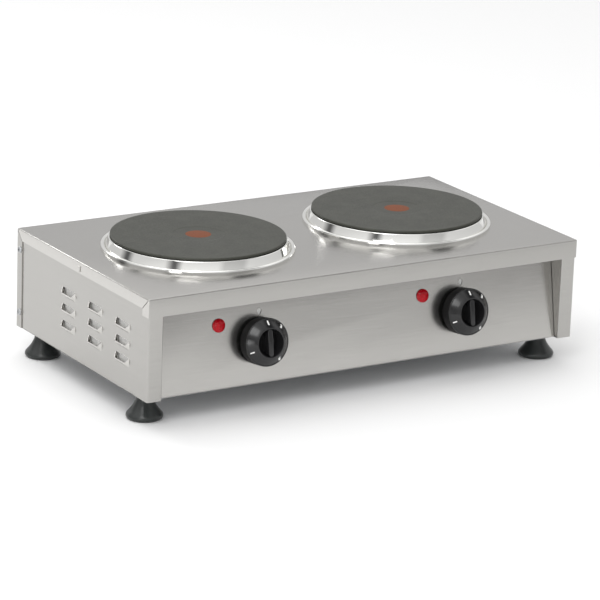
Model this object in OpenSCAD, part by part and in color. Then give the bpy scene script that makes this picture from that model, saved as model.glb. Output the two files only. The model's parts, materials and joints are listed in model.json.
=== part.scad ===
// Twin hot plate for a counter top.
// +X is to the user's right, +Y away from the user and +Z up. The origin lies on the
// counter, at the middle of the outline that the knobs and the cable gland complete.

/* [Casing] */
// Width of the worktop
top_w = 508; // [500:1:560]
// Depth of the worktop
top_d = 280; // [276:1:300]
// Height of the worktop's upper face above the counter
top_z = 134; // [125:1:150]
// Height of the casing's lower edge above the counter
skirt_z = 28.4; // [26:0.2:32]
// Thickness of the stainless sheet
sheet = 1; // [0.8:0.1:1.2]
// Depth of the worktop's front apron
apron_h = 19; // [16:0.5:22]
// Depth of the worktop's side flanges
flange_h = 12; // [10:0.5:14]
// Width of the front posts
post_w = 17; // [15:0.5:20]
// Depth of the rear panel's side returns
return_d = 10.5; // [9:0.5:14]

/* [Control panel] */
// Lean of the control panel from upright, in degrees
lean = 9.5; // [6:0.5:12]
// Set-back of the panel's lower edge behind the apron's face
toe = 7; // [5:0.5:9]
// Distance up the panel to the knobs' axes
knob_rise = 43; // [40:0.5:46]
// Distance up the panel to the lamps
lamp_rise = 64; // [60:0.5:70]
// Distance from a knob's axis to its lamp
lamp_offset = 45; // [40:0.5:60]

/* [Louvres] */
// Length of a louvre's slit
louvre_l = 27; // [20:0.2:30]
// Height of a louvre's window
louvre_window = 5; // [4.5:0.1:6]
// Height of the raised lip under the window
louvre_lip = 4.6; // [3:0.1:5]
// How far the lip stands out
louvre_out = 4.2; // [2:0.1:4.6]
// Distance from the apron's face to the middle of the first louvre column
louvre_front = 52.7; // [45:0.1:60]
// Height of the top row's upper edge above the counter
louvre_top = 98.3; // [85:0.1:105]
// Spacing of the louvre columns
louvre_pitch_y = 57; // [45:1:60]
// Spacing of the louvre rows
louvre_pitch_z = 17.6; // [15:0.2:20]

/* [Hot plates] */
// Diameter of a cast plate
plate_dia = 180; // [176:1:190]
// Distance between the plates' centres
plate_pitch = 240; // [230:1:250]
// Height of a plate's cooking face above the worktop
plate_rise = 14.3; // [13:0.1:16]
// Distance from the apron's face back to the plates' centres
plate_y = 140; // [135:0.5:142]
// Outer diameter of the trim rings
trim_dia = 198.6; // [194:0.2:202]
// Diameter of the shallow dish in the middle of a plate
dish_dia = 54; // [48:1:60]
// Diameter of the red spot
dot_dia = 26.4; // [24:0.1:30]

/* [Knobs] */
// Diameter of a knob's skirt
knob_dia = 48.8; // [46:0.2:52]
// Height of the skirt's front rim above the panel
knob_rim = 17.2; // [16:0.2:19]
// Height of the grip above the panel
knob_h = 23.7; // [22:0.1:26]
// Diameter of the finger bowl round the grip
bowl_dia = 28.6; // [26:0.2:32]
// Width of the grip
grip_w = 7.4; // [7:0.2:10]

/* [Feet] */
// Diameter of a foot's rim
foot_dia = 37.4; // [34:0.2:40]
// Distance from the casing's side to a foot's axis
foot_inset = 18.5; // [18:0.5:24]
// Distance from the apron's face to the front feet
foot_front = 37; // [36:0.5:45]
// Distance from the apron's face to the rear feet
foot_rear = 256; // [245:0.5:258]

/* [Hidden] */
$fn = 96;

LEFT = -1;
RIGHT = 1;
eps = 0.01;                          // overlap that keeps a cut clean
gap = 0.4;                           // clearance between sheets
louvre_taper = 6;                    // slant of a louvre's ends
guard_gap = 3;                       // space between a side panel and its drip guard
guard_margin = 6;                    // how far a drip guard reaches past the louvres

// Casing
body_x = top_w / 2 - sheet;          // outer face of the side panels
post_in = top_w / 2 - post_w - 0.5;  // inner face of a post's return
post_depth = 25;                     // how far a post's return runs back
rear_y = top_d;                      // outer face of the rear panel
under_top = top_z - sheet;           // underside of the worktop
floor_flange = 30;                   // width of the side panels' lower flanges
tab_l = 17;                          // length of the apron's corner tabs
tab_toe = 3;                         // upright end of a corner tab
mitre_gap = 0.5;
base_in = 6;                         // the base plate stays this far inside the skirt
screw_r = 2;

// Control panel
panel_top = under_top - 1.5;
panel_len = (panel_top - skirt_z) / cos(lean);
panel_x = post_in - 0.5;
panel_flange = 14;
lamp_r = 7;
lamp_hole_r = 5.2;
shaft_r = 3;
shaft_fit = 0.05;                    // running clearance round a shaft
knob_gap = 4;                        // the skirt's back stays this far off the panel
screw_pitch = 28;                    // switch screws, centre to centre
tab_pitch = 8;                       // spacing of the terminals

// Hot plates
plate_z = top_z + plate_rise;
plate_r = plate_dia / 2;
hole_r = plate_r + 1;
trim_r = trim_dia / 2;
trim_t = 0.6;
bead_r = 1.8;
coil_rows = [40, 54, 68];
coil_r = 2.4;
cavity_in = 25;
cavity_out = 81;
plate_low = plate_z - 20;            // lower edge of the casting
stud_r = 2.5;
bar_z = plate_low - 7;               // upper face of the clamp bar

// Feet
foot_stud_r = 4;
foot_x = top_w / 2 - foot_inset;
foot_top = skirt_z - sheet;          // the feet stop against the base plate
nut_h = 6.5;
foot_travel = 10;                    // how far a foot can be screwed out
stud_top = skirt_z + sheet + nut_h + foot_travel - 2;

// Cable gland
gland_x = 190;
gland_z = 60;
gland_bore = 5;
gland_out = 18;                      // how far it stands out of the rear panel

// The knobs' grips are the foremost points, and the gland is the rearmost
grip_front = toe + knob_rise * sin(lean) - knob_h * cos(lean) - bowl_dia / 2 * sin(lean);
front_y = -(grip_front + rear_y + gland_out) / 2;

// ---------------------------------------------------------------- helpers

// Places children, drawn from the apron's face, in the part's own frame
module framed() {
    translate([0, front_y, 0]) children();
}

// A block given by its lowest and highest corners
module block(low, high) {
    translate(low) cube(high - low);
}

// Children stand on the control panel: X across, Y up the slope and Z out of its face
module on_panel(x, rise) {
    translate([x, toe, skirt_z]) rotate([90 - lean, 0, 0]) translate([0, rise, 0]) children();
}

// Children are centred on a hot plate, with Z still measured from the counter
module at_plate(side) {
    translate([side * plate_pitch / 2, plate_y, 0]) children();
}

module at_knob(side) {
    on_panel(side * plate_pitch / 2, knob_rise) children();
}

module at_lamp(side) {
    on_panel(side * plate_pitch / 2 - lamp_offset, lamp_rise) children();
}

module at_foot(side, y) {
    translate([side * foot_x, y, 0]) children();
}

module ring(r_in, r_out, z_low, z_high) {
    rotate_extrude() translate([r_in, z_low]) square([r_out - r_in, z_high - z_low]);
}

module hex_nut(across, height, bore) {
    difference() {
        cylinder(r = across / sqrt(3), h = height, $fn = 6);
        translate([0, 0, -1]) cylinder(r = bore, h = height + 2);
    }
}

module pan_screw(head_r, head_h, length, shank_r = screw_r) {
    cylinder(r1 = head_r, r2 = head_r * 0.8, h = head_h);
    translate([0, 0, -length]) cylinder(r = shank_r, h = length + eps);
}

// A tube along a path. Its rings are turned by a reference direction that no leg runs along.
wire_up = [0, 0.6, 0.8];
wire_sides = 8;
function unit(v) = v / norm(v);
function heading(path, i) = unit(path[min(i + 1, len(path) - 1)] - path[max(i - 1, 0)]);
function tube_ring(c, d, r) = let (u = unit(cross(d, wire_up)), v = cross(d, u))
    [for (k = [0 : wire_sides - 1]) let (a = 360 * k / wire_sides) c + r * (cos(a) * u + sin(a) * v)];
function bend(p, before, after, cut = 5) = let (a = p + cut * unit(before - p), b = p + cut * unit(after - p))
    [a, (a + 2 * p + b) / 4, b];
function rounded(route) = [route[0], for (i = [1 : len(route) - 2]) each bend(route[i], route[i - 1], route[i + 1]),
    route[len(route) - 1]];

module wire(route, r) {
    path = rounded(route);
    last = len(path) - 1;
    n = wire_sides;
    rings = [for (i = [0 : last]) each tube_ring(path[i], heading(path, i), r)];
    sides = [for (i = [0 : last - 1], k = [0 : n - 1])
        [i * n + k, i * n + (k + 1) % n, (i + 1) * n + (k + 1) % n, (i + 1) * n + k]];
    ends = [[for (k = [n - 1 : -1 : 0]) k], [for (k = [0 : n - 1]) last * n + k]];
    polyhedron(points = rings, faces = concat(sides, ends));
}

// ---------------------------------------------------------------- casing

// Side flange with an apron tab at the front, cut on the mitre at both ends
module worktop_side() {
    linear_extrude(sheet) {
        polygon([[0, 0], [0, -apron_h], [tab_l, -apron_h], [tab_l, tab_toe - apron_h], [0.5, -1]]);
        polygon([[mitre_gap, 0], [mitre_gap + 1.2, -1.2], [flange_h + mitre_gap + 1, -flange_h],
            [rear_y - return_d - mitre_gap, -flange_h], [rear_y - mitre_gap, -1.2], [rear_y - mitre_gap, 0]]);
        translate([0, -1]) square([rear_y, 1]);
    }
}

module worktop() {
    color("gainsboro") difference() {
        union() {
            block([-top_w / 2, 0, under_top], [top_w / 2, top_d, top_z]);
            block([-top_w / 2, 0, top_z - apron_h], [top_w / 2, sheet, top_z]);
            block([-body_x + 2, rear_y - 2 * sheet - gap, top_z - apron_h],
                [body_x - 2, rear_y - sheet - gap, top_z]);
            for (x = [-top_w / 2, top_w / 2 - sheet])
                translate([x, 0, top_z]) rotate([90, 0, 90]) worktop_side();
        }
        for (side = [LEFT, RIGHT])
            at_plate(side) translate([0, 0, under_top - 1]) cylinder(r = hole_r, h = sheet + 2);
    }
}

// The lip is a small roof that leans out of the panel, with its ends cut on a slant
module lip_wedge(inset) {
    out = louvre_out - inset * 0.6;
    low = -louvre_window - louvre_lip + inset * 1.4;
    half = louvre_l / 2 - inset;
    intersection() {
        rotate([90, 0, 0]) linear_extrude(louvre_l + 2, center = true)
            polygon([[sheet, low], [0, low], [-out, -louvre_window], [-out, -louvre_window + 0.6],
                [sheet, -louvre_window + 0.6]]);
        translate([0, 0, -louvre_window - louvre_lip - 1]) linear_extrude(louvre_lip + 3)
            polygon([[sheet, half], [0, half], [-out, half - louvre_taper],
                [-out, louvre_taper - half], [0, -half], [sheet, -half]]);
    }
}

module lip_hollow() {
    translate([0.9, 0, eps]) lip_wedge(0.8);
    translate([0.9, 0, 0.6]) lip_wedge(0.8);
}

module louvre_window_cut() {
    half = louvre_l / 2;
    rotate([90, 0, 90]) linear_extrude(4 * sheet, center = true)
        polygon([[-half, 0], [half, 0], [half - louvre_taper, -louvre_window],
            [louvre_taper - half, -louvre_window]]);
}

// Louvres stand in three columns of three
module each_louvre() {
    for (col = [0 : 2], row = [0 : 2])
        translate([-body_x, louvre_front + col * louvre_pitch_y, louvre_top - row * louvre_pitch_z]) children();
}

// A shallow channel behind the louvres, open at the bottom, keeps drips off the wiring
module drip_guard() {
    front = louvre_front - louvre_l / 2 - guard_margin;
    back = front + 2 * louvre_pitch_y + louvre_l + 2 * guard_margin;
    low = louvre_top - 2 * louvre_pitch_z - louvre_window - louvre_lip - guard_margin;
    high = louvre_top + guard_margin;
    difference() {
        block([-body_x + sheet - eps, front, low], [-body_x + 2 * sheet + guard_gap, back, high]);
        block([-body_x, front + sheet, low - 1], [-body_x + sheet + guard_gap, back - sheet, high - sheet]);
    }
}

// Side panel, front post, post return and lower flange are one folded sheet
module side_sheet() {
    low = skirt_z;
    back = rear_y - sheet - gap;
    difference() {
        union() {
            block([-body_x, sheet, low], [-body_x + sheet, back, under_top]);
            block([-body_x, sheet, low], [-post_in, 2 * sheet, under_top]);
            block([-post_in - sheet, sheet, low], [-post_in, post_depth, under_top]);
            block([-body_x, post_depth + 2, low], [-body_x + floor_flange, back - 2, low + sheet]);
            each_louvre() lip_wedge(0);
            drip_guard();
        }
        each_louvre() lip_hollow();
        each_louvre() louvre_window_cut();
        for (y = [foot_front, foot_rear])
            translate([-foot_x, y, low - 1]) cylinder(r = foot_stud_r + 0.5, h = 3);
        for (y = [70, 223])
            translate([-body_x + 15, y, low - 1]) cylinder(r = screw_r + 0.1, h = 3);
        for (z = [45, 112])
            translate([-body_x - 1, rear_y - 6, z]) rotate([0, 90, 0]) cylinder(r = screw_r + 0.1, h = 3);
    }
}

module side_panel(side) {
    color("silver") if (side == LEFT) side_sheet(); else mirror([1, 0, 0]) side_sheet();
}

module control_panel() {
    color("silver") difference() {
        union() {
            on_panel(0, 0) translate([-panel_x, 0, -sheet]) cube([2 * panel_x, panel_len, sheet]);
            block([-panel_x, toe + 0.3, skirt_z], [panel_x, toe + panel_flange, skirt_z + sheet]);
            translate([0, (panel_top - skirt_z) * tan(lean), 0])
                block([-panel_x, toe + 0.3, panel_top - sheet], [panel_x, toe + panel_flange, panel_top]);
        }
        for (side = [LEFT, RIGHT]) {
            on_panel(side * plate_pitch / 2, knob_rise) {
                translate([0, 0, -3]) cylinder(r = 5, h = 6);
                for (x = [-screw_pitch / 2, screw_pitch / 2])
                    translate([x, 0, -3]) cylinder(r = screw_r + 0.1, h = 6);
            }
            on_panel(side * plate_pitch / 2 - lamp_offset, lamp_rise)
                translate([0, 0, -3]) cylinder(r = lamp_hole_r, h = 6);
        }
        for (x = [-180, 0, 180])
            translate([x, toe + 9, skirt_z - 1]) cylinder(r = screw_r + 0.1, h = 3);
    }
}

module rear_panel() {
    low = skirt_z;
    color("silver") difference() {
        union() {
            block([-top_w / 2, rear_y - sheet, low], [top_w / 2, rear_y, under_top]);
            for (x = [-top_w / 2, body_x])
                translate([x, 0, 0]) rotate([90, 0, 90]) linear_extrude(sheet)
                    polygon([[rear_y, low], [rear_y - return_d, low],
                        [rear_y - return_d, top_z - flange_h - gap], [rear_y, under_top - 0.6]]);
            block([-body_x + floor_flange + 1, rear_y - panel_flange, low],
                [body_x - floor_flange - 1, rear_y - eps, low + sheet]);
        }
        translate([gland_x, rear_y - 3, gland_z]) rotate([-90, 0, 0]) cylinder(r = 10.2, h = 6);
        for (x = [-180, 0, 180])
            translate([x, rear_y - 9, low - 1]) cylinder(r = screw_r + 0.1, h = 3);
        for (x = [-top_w / 2 - 1, body_x - 1], z = [45, 112])
            translate([x, rear_y - 6, z]) rotate([0, 90, 0]) cylinder(r = screw_r + 0.1, h = 3);
        for (col = [0 : 5], row = [0 : 1])
            translate([-150 + col * 50, rear_y - 3, 78 + row * 18]) rotate([-90, 0, 0])
                linear_extrude(6) {
                    square([24, 4], center = true);
                    for (x = [-12, 12])
                        translate([x, 0]) circle(r = 2);
                }
    }
}

// Where the base plate is screwed to the flanges above it
module each_base_screw() {
    for (x = [-body_x + 15, body_x - 15], y = [70, 223])
        translate([x, y, 0]) children();
    for (x = [-180, 0, 180], y = [toe + 9, rear_y - 9])
        translate([x, y, 0]) children();
}

module each_foot() {
    for (x = [-foot_x, foot_x], y = [foot_front, foot_rear])
        translate([x, y, 0]) children();
}

module base_plate() {
    color("darkgray") difference() {
        block([-body_x + base_in, toe + 3, skirt_z - sheet], [body_x - base_in, rear_y - base_in + 2, skirt_z]);
        each_foot() translate([0, 0, skirt_z - 2]) cylinder(r = foot_stud_r + 0.5, h = 3);
        each_base_screw() translate([0, 0, skirt_z - 2]) cylinder(r = screw_r + 0.1, h = 3);
        for (side = [LEFT, RIGHT], k = [-3 : 3])
            at_plate(side) translate([k * 20, 0, skirt_z - 2]) linear_extrude(3) {
                square([4, 60], center = true);
                for (y = [-30, 30])
                    translate([0, y]) circle(r = 2);
            }
    }
}

module base_screws() {
    color("lightgray") each_base_screw()
        translate([0, 0, skirt_z - sheet]) rotate([180, 0, 0]) pan_screw(3.8, 2.2, 7);
}

module rear_panel_screws() {
    color("lightgray") for (side = [LEFT, RIGHT], z = [45, 112])
        translate([side * top_w / 2, rear_y - 6, z]) rotate([0, side * 90, 0]) pan_screw(3.6, 1.8, 7);
}

// ---------------------------------------------------------------- feet

// Bell profile: a rounded rim, then a flare that narrows to the neck
function foot_profile() = let (neck = 7.8, rim = foot_dia / 2, low = 6, top = foot_top)
    concat([[0, 0], [rim - 2.6, 0]],
        [for (a = [-80 : 20 : 40]) [rim - 3.4 + 3.4 * cos(a), 3.4 + 3.4 * sin(a)]],
        [for (k = [0 : 12]) let (u = k / 12) [neck + (rim - 1 - neck) * pow(1 - u, 2.1), low + u * (top - low)]],
        [[0, top]]);

module foot() {
    color("dimgray") difference() {
        rotate_extrude() polygon(foot_profile());
        translate([0, 0, 8]) cylinder(r = foot_stud_r, h = foot_top);
    }
}

module foot_stud() {
    color("lightgray") {
        translate([0, 0, 8]) cylinder(r = foot_stud_r, h = stud_top - 9);
        translate([0, 0, stud_top - 1 - eps]) cylinder(r1 = foot_stud_r, r2 = foot_stud_r - 0.8, h = 1);
    }
}

module foot_nuts() {
    color("lightgray") each_foot() translate([0, 0, skirt_z + sheet]) hex_nut(13, nut_h, foot_stud_r + shaft_fit);
}

// ---------------------------------------------------------------- hot plates

module hot_plate() {
    z = plate_z;
    color("#4b4b46") difference() {
        rotate_extrude() polygon([[0, z - 0.6], [dish_dia / 2 - 0.8, z - 0.6], [dish_dia / 2, z],
            [plate_r - 1.4, z], [plate_r, z - 1.4], [plate_r, z - 3.6], [plate_r - 2.4, z - 4.2],
            [plate_r - 2.4, z - 8], [plate_r - 5, z - 10], [plate_r - 5, plate_low], [cavity_out, plate_low],
            [cavity_out, z - 9], [cavity_in, z - 9], [cavity_in, plate_low], [0, plate_low]]);
        translate([0, 0, plate_low - 1]) cylinder(r = stud_r, h = 9);
        translate([0, 0, z - 0.8]) cylinder(r = dot_dia / 2, h = 1);
    }
}

module plate_dot() {
    color("#c0482a") translate([0, 0, plate_z - 0.8]) cylinder(r = dot_dia / 2, h = 0.25);
}

// Polished collar: a lip under the plate's edge, a sloping skirt, a groove and a rolled bead
module trim_ring() {
    z = top_z;
    lip_z = plate_z - 4.2;
    groove_r = trim_r - 2 * bead_r - 0.2;
    color("whitesmoke") rotate_extrude() {
        polygon([[plate_r - 2.3, lip_z - trim_t], [plate_r + 0.2, lip_z - trim_t], [groove_r - 0.7, z + 2.2],
            [groove_r, z + 1.6], [groove_r + 1, z + 1.6], [groove_r + 1, z + 2.3], [groove_r + 0.3, z + 2.4],
            [plate_r + 1.4, lip_z + 0.2], [plate_r + 0.9, lip_z + 0.9], [plate_r + 0.4, lip_z + 0.9],
            [plate_r + 0.2, lip_z], [plate_r - 2.3, lip_z]]);
        translate([trim_r - bead_r, z + bead_r]) difference() {
            circle(r = bead_r, $fn = 48);
            circle(r = bead_r - trim_t, $fn = 48);
            translate([-bead_r - 1, -bead_r - 1]) square([bead_r + 1, bead_r + 0.4]);
        }
    }
}

module heating_coil() {
    color("tan") for (r = coil_rows)
        rotate_extrude() translate([r, plate_z - 12.6]) circle(r = coil_r, $fn = 32);
}

module insulation() {
    color("beige") difference() {
        ring(cavity_in + 0.5, cavity_out - 0.5, plate_low + 1, plate_z - 9.3);
        for (r = coil_rows)
            ring(r - coil_r - 0.5, r + coil_r + 0.5, plate_z - 15.6, plate_z - 8);
    }
}

module plate_cover() {
    color("lightgray") difference() {
        rotate_extrude() polygon([[0, plate_low - 1.4], [plate_r - 2, plate_low - 1.4],
            [plate_r - 2, plate_low + 6], [plate_r - 2.8, plate_low + 6], [plate_r - 2.8, plate_low - 0.6],
            [0, plate_low - 0.6]]);
        translate([0, 0, plate_low - 3]) cylinder(r = stud_r + 0.3, h = 6);
        translate([-12, 34, plate_low - 3]) cube([24, 12, 6]);
    }
}

// A bridge that hooks up under the worktop and pulls the plate down on it
module clamp_bar() {
    reach = hole_r + 10;
    color("lightsteelblue") difference() {
        rotate([90, 0, 0]) linear_extrude(24, center = true)
            polygon([[-reach, under_top], [-reach, bar_z - 2], [reach, bar_z - 2], [reach, under_top],
                [reach - 8, under_top], [reach - 8, under_top - 2], [reach - 2, under_top - 2],
                [reach - 2, bar_z], [2 - reach, bar_z], [2 - reach, under_top - 2],
                [8 - reach, under_top - 2], [8 - reach, under_top]]);
        translate([0, 0, bar_z - 4]) cylinder(r = stud_r + 0.3, h = 6);
    }
}

module clamp_stud() {
    color("lightgray") translate([0, 0, bar_z - 12]) cylinder(r = stud_r, h = plate_low + 7 - bar_z + 12);
}

module clamp_nut() {
    color("lightgray") {
        translate([0, 0, bar_z - 6.2]) hex_nut(8, 4, stud_r);
        ring(stud_r + 0.2, 6, bar_z - 2.2 - 1, bar_z - 2);
    }
}

// Steatite block on the cover, with four spade terminals
module plate_terminals() {
    color("ivory") difference() {
        block([-11.5, 34.5, plate_low - 14], [11.5, 45.5, plate_low - 0.2]);
        for (x = [-tab_pitch, 0, tab_pitch])
            translate([x, 40, plate_low - 16]) cylinder(r = 1.7, h = 8);
    }
}

// ---------------------------------------------------------------- controls

// Drawn on the panel: Z is the distance in front of its face
module knob() {
    r = knob_dia / 2;
    bowl = bowl_dia / 2;
    floor_z = 12.5;
    half = grip_w / 2;
    color("#1c1c1e") difference() {
        union() {
            difference() {
                rotate_extrude() polygon([[0, knob_gap + 1], [9, knob_gap + 1], [9, knob_rim - 7.5],
                    [r - 2.2, knob_rim - 7.5], [r - 2.2, knob_gap], [r - 0.4, knob_gap], [r, knob_rim - 1],
                    [r - 0.3, knob_rim - 0.3], [r - 1, knob_rim], [bowl + 0.8, knob_h - 0.3],
                    [bowl, knob_h], [0, knob_h]]);
                translate([0, 0, floor_z]) cylinder(r1 = bowl - 4, r2 = bowl, h = knob_h - floor_z + eps);
            }
            intersection() {
                translate([0, 0, floor_z - 1]) cylinder(r = bowl + 0.5, h = knob_h - floor_z + 1);
                rotate([90, 0, 0]) linear_extrude(bowl_dia + 2, center = true)
                    polygon([[-half - 0.8, 0], [half + 0.8, 0], [half - 0.6, knob_h - 1],
                        [half - 1.4, knob_h], [1.4 - half, knob_h], [0.6 - half, knob_h - 1]]);
            }
        }
        cylinder(r = shaft_r, h = 16);
    }
}

module switch_shaft() {
    color("lightgray") translate([0, 0, -22]) cylinder(r = shaft_r, h = 22 + 15);
}

// Energy regulator: a moulded case with a threaded nose behind the panel
module switch() {
    color("linen") difference() {
        union() {
            block([-18, -20, -30 - sheet], [18, 20, -sheet - 1]);
            translate([0, 0, -sheet - 1 - eps]) cylinder(r = 4.6, h = 4);
            for (x = [-screw_pitch / 2, screw_pitch / 2])
                translate([x, 0, -sheet - 1 - eps]) cylinder(r = 4, h = 1 + eps);
        }
        translate([0, 0, -23]) cylinder(r = shaft_r + shaft_fit, h = 30);
        for (x = [-screw_pitch / 2, screw_pitch / 2])
            translate([x, 0, -12]) cylinder(r = screw_r, h = 20);
    }
    color("goldenrod") for (k = [-2 : 1], y = [-8, 8])
        block([k * tab_pitch - 0.4, y - 3, -38 - sheet], [k * tab_pitch + 0.4, y + 3, -30 - sheet]);
}

module switch_screws() {
    color("lightgray") for (x = [-screw_pitch / 2, screw_pitch / 2])
        translate([x, 0, 0]) pan_screw(3.4, 1.6, 9);
}

module lamp_lens() {
    color("red") difference() {
        union() {
            cylinder(r = lamp_r, h = 1.4);
            intersection() {
                translate([0, 0, 1.4 - 5.2]) sphere(r = 8.4, $fn = 96);
                translate([0, 0, 1.4 - eps]) cylinder(r = lamp_r - 0.4, h = 5);
            }
        }
        translate([0, 0, -1]) cylinder(r = 4, h = 3);
    }
}

module lamp_body() {
    color("white") {
        translate([0, 0, -22]) cylinder(r = 5, h = 22);
        cylinder(r = 3.6, h = 1.8);
    }
    color("goldenrod") for (x = [-2.5, 2.5])
        block([x - 0.4, -2, -29], [x + 0.4, 2, -22]);
}

module lamp_clip() {
    color("lightgray") ring(5.1, 8, -sheet - 1.4, -sheet);
}

// ---------------------------------------------------------------- electrics

module mains_terminal_block() {
    color("whitesmoke") difference() {
        block([128, 222, skirt_z + sheet], [178, 240, skirt_z + sheet + 18]);
        for (k = [0 : 4]) {
            translate([133 + k * 10, 220, skirt_z + sheet + 8]) rotate([-90, 0, 0]) cylinder(r = 2.4, h = 22);
            translate([133 + k * 10, 231, skirt_z + sheet + 12]) cylinder(r = 2.2, h = 8);
        }
    }
}

module earth_stud() {
    color("gold") translate([205, 232, skirt_z]) {
        cylinder(r = 2.5, h = 20);
        translate([0, 0, 3]) hex_nut(8, 4, 2.5);
        translate([0, 0, 12]) hex_nut(8, 4, 2.5);
    }
}

// Drawn along +Z, out of the rear panel
module cable_gland() {
    color("dimgray") difference() {
        union() {
            translate([0, 0, -12]) cylinder(r = 10, h = 12 + eps);
            cylinder(r = 13 / cos(30), h = 5, $fn = 6);
            translate([0, 0, 5 - eps]) cylinder(r1 = 12, r2 = 12, h = 6);
            translate([0, 0, 11 - 2 * eps]) cylinder(r1 = 12, r2 = 8.5, h = gland_out - 11 + 2 * eps);
        }
        translate([0, 0, -13]) cylinder(r = gland_bore, h = gland_out + 14);
    }
}

module gland_nut() {
    color("dimgray") translate([0, 0, -sheet - 5]) hex_nut(25, 5, 10);
}

module at_gland() {
    translate([gland_x, rear_y, gland_z]) rotate([-90, 0, 0]) children();
}

// Wires: each keeps to its own lane, so that no two of them meet
wire_r = 1.4;
lamp_wire_r = 0.9;
tab_y = 54.4;                        // where the switches' tabs end
tab_high = 72.2;
tab_low = 56.4;
floor_lane = skirt_z + sheet + 8;

module plate_wires(side) {
    cx = side * plate_pitch / 2;
    color("firebrick") for (x = [cx - tab_pitch, cx, cx + tab_pitch])
        wire([[x, plate_y + 40, plate_low - 9], [x, plate_y + 40, 96], [x, 66, tab_high],
            [x, tab_y, tab_high]], wire_r);
}

module supply_wires(side) {
    cx = side * plate_pitch / 2;
    lane = side == LEFT ? 0 : 2;
    color("saddlebrown") for (k = [0 : 1])
        let (from = 133 + 10 * (lane + k), turn = 195 - 10 * (lane + k), x = cx + tab_pitch * k)
            wire([[from, 226, floor_lane], [from, turn, floor_lane], [x, turn, floor_lane],
                [x, 78, floor_lane], [x, 64, tab_low], [x, tab_y - 2.2, tab_low]], wire_r);
}

module lamp_wires() {
    color("slategray") for (side = [LEFT, RIGHT])
        let (cx = side * plate_pitch / 2, lamp_x = cx - lamp_offset, x = cx - 2 * tab_pitch) {
            wire([[lamp_x - 2.5, 47.2, 86.6], [lamp_x - 2.5, 74, 86.6], [x, 74, tab_low],
                [x, tab_y - 2.2, tab_low]], lamp_wire_r);
            wire([[lamp_x + 2.5, 47.2, 86.6], [lamp_x + 2.5, 64, 86.6], [x, 64, tab_high],
                [x, tab_y, tab_high]], lamp_wire_r);
        }
}

// ---------------------------------------------------------------- the nodes

framed() worktop();
framed() side_panel(LEFT);  // left_side_panel
framed() side_panel(RIGHT);  // right_side_panel
framed() control_panel();
framed() rear_panel();
framed() base_plate();
framed() base_screws();
framed() rear_panel_screws();
framed() foot_nuts();
framed() at_foot(LEFT, foot_front) foot();  // front_left_foot
framed() at_foot(RIGHT, foot_front) foot();  // front_right_foot
framed() at_foot(LEFT, foot_rear) foot();  // rear_left_foot
framed() at_foot(RIGHT, foot_rear) foot();  // rear_right_foot
framed() at_foot(LEFT, foot_front) foot_stud();  // front_left_foot_stud
framed() at_foot(RIGHT, foot_front) foot_stud();  // front_right_foot_stud
framed() at_foot(LEFT, foot_rear) foot_stud();  // rear_left_foot_stud
framed() at_foot(RIGHT, foot_rear) foot_stud();  // rear_right_foot_stud
framed() at_plate(LEFT) hot_plate();  // left_hot_plate
framed() at_plate(RIGHT) hot_plate();  // right_hot_plate
framed() at_plate(LEFT) plate_dot();  // left_plate_dot
framed() at_plate(RIGHT) plate_dot();  // right_plate_dot
framed() at_plate(LEFT) trim_ring();  // left_trim_ring
framed() at_plate(RIGHT) trim_ring();  // right_trim_ring
framed() at_plate(LEFT) heating_coil();  // left_heating_coil
framed() at_plate(RIGHT) heating_coil();  // right_heating_coil
framed() at_plate(LEFT) insulation();  // left_insulation
framed() at_plate(RIGHT) insulation();  // right_insulation
framed() at_plate(LEFT) plate_cover();  // left_plate_cover
framed() at_plate(RIGHT) plate_cover();  // right_plate_cover
framed() at_plate(LEFT) clamp_bar();  // left_clamp_bar
framed() at_plate(RIGHT) clamp_bar();  // right_clamp_bar
framed() at_plate(LEFT) clamp_stud();  // left_clamp_stud
framed() at_plate(RIGHT) clamp_stud();  // right_clamp_stud
framed() at_plate(LEFT) clamp_nut();  // left_clamp_nut
framed() at_plate(RIGHT) clamp_nut();  // right_clamp_nut
framed() at_plate(LEFT) plate_terminals();  // left_plate_terminals
framed() at_plate(RIGHT) plate_terminals();  // right_plate_terminals
framed() at_knob(LEFT) knob();  // left_knob
framed() at_knob(RIGHT) knob();  // right_knob
framed() at_knob(LEFT) switch_shaft();  // left_switch_shaft
framed() at_knob(RIGHT) switch_shaft();  // right_switch_shaft
framed() at_knob(LEFT) switch();  // left_switch
framed() at_knob(RIGHT) switch();  // right_switch
framed() at_knob(LEFT) switch_screws();  // left_switch_screws
framed() at_knob(RIGHT) switch_screws();  // right_switch_screws
framed() at_lamp(LEFT) lamp_lens();  // left_lamp_lens
framed() at_lamp(RIGHT) lamp_lens();  // right_lamp_lens
framed() at_lamp(LEFT) lamp_body();  // left_lamp_body
framed() at_lamp(RIGHT) lamp_body();  // right_lamp_body
framed() at_lamp(LEFT) lamp_clip();  // left_lamp_clip
framed() at_lamp(RIGHT) lamp_clip();  // right_lamp_clip
framed() mains_terminal_block();
framed() earth_stud();
framed() at_gland() cable_gland();
framed() at_gland() gland_nut();
framed() plate_wires(LEFT);  // left_plate_wires
framed() plate_wires(RIGHT);  // right_plate_wires
framed() supply_wires(LEFT);  // left_supply_wires
framed() supply_wires(RIGHT);  // right_supply_wires
framed() lamp_wires();
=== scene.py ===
"""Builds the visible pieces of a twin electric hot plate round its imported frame."""

import json
import logging
import math
from dataclasses import dataclass
from enum import Enum
from typing import Callable, Sequence

import bpy
from mathutils import Matrix, Vector

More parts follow.
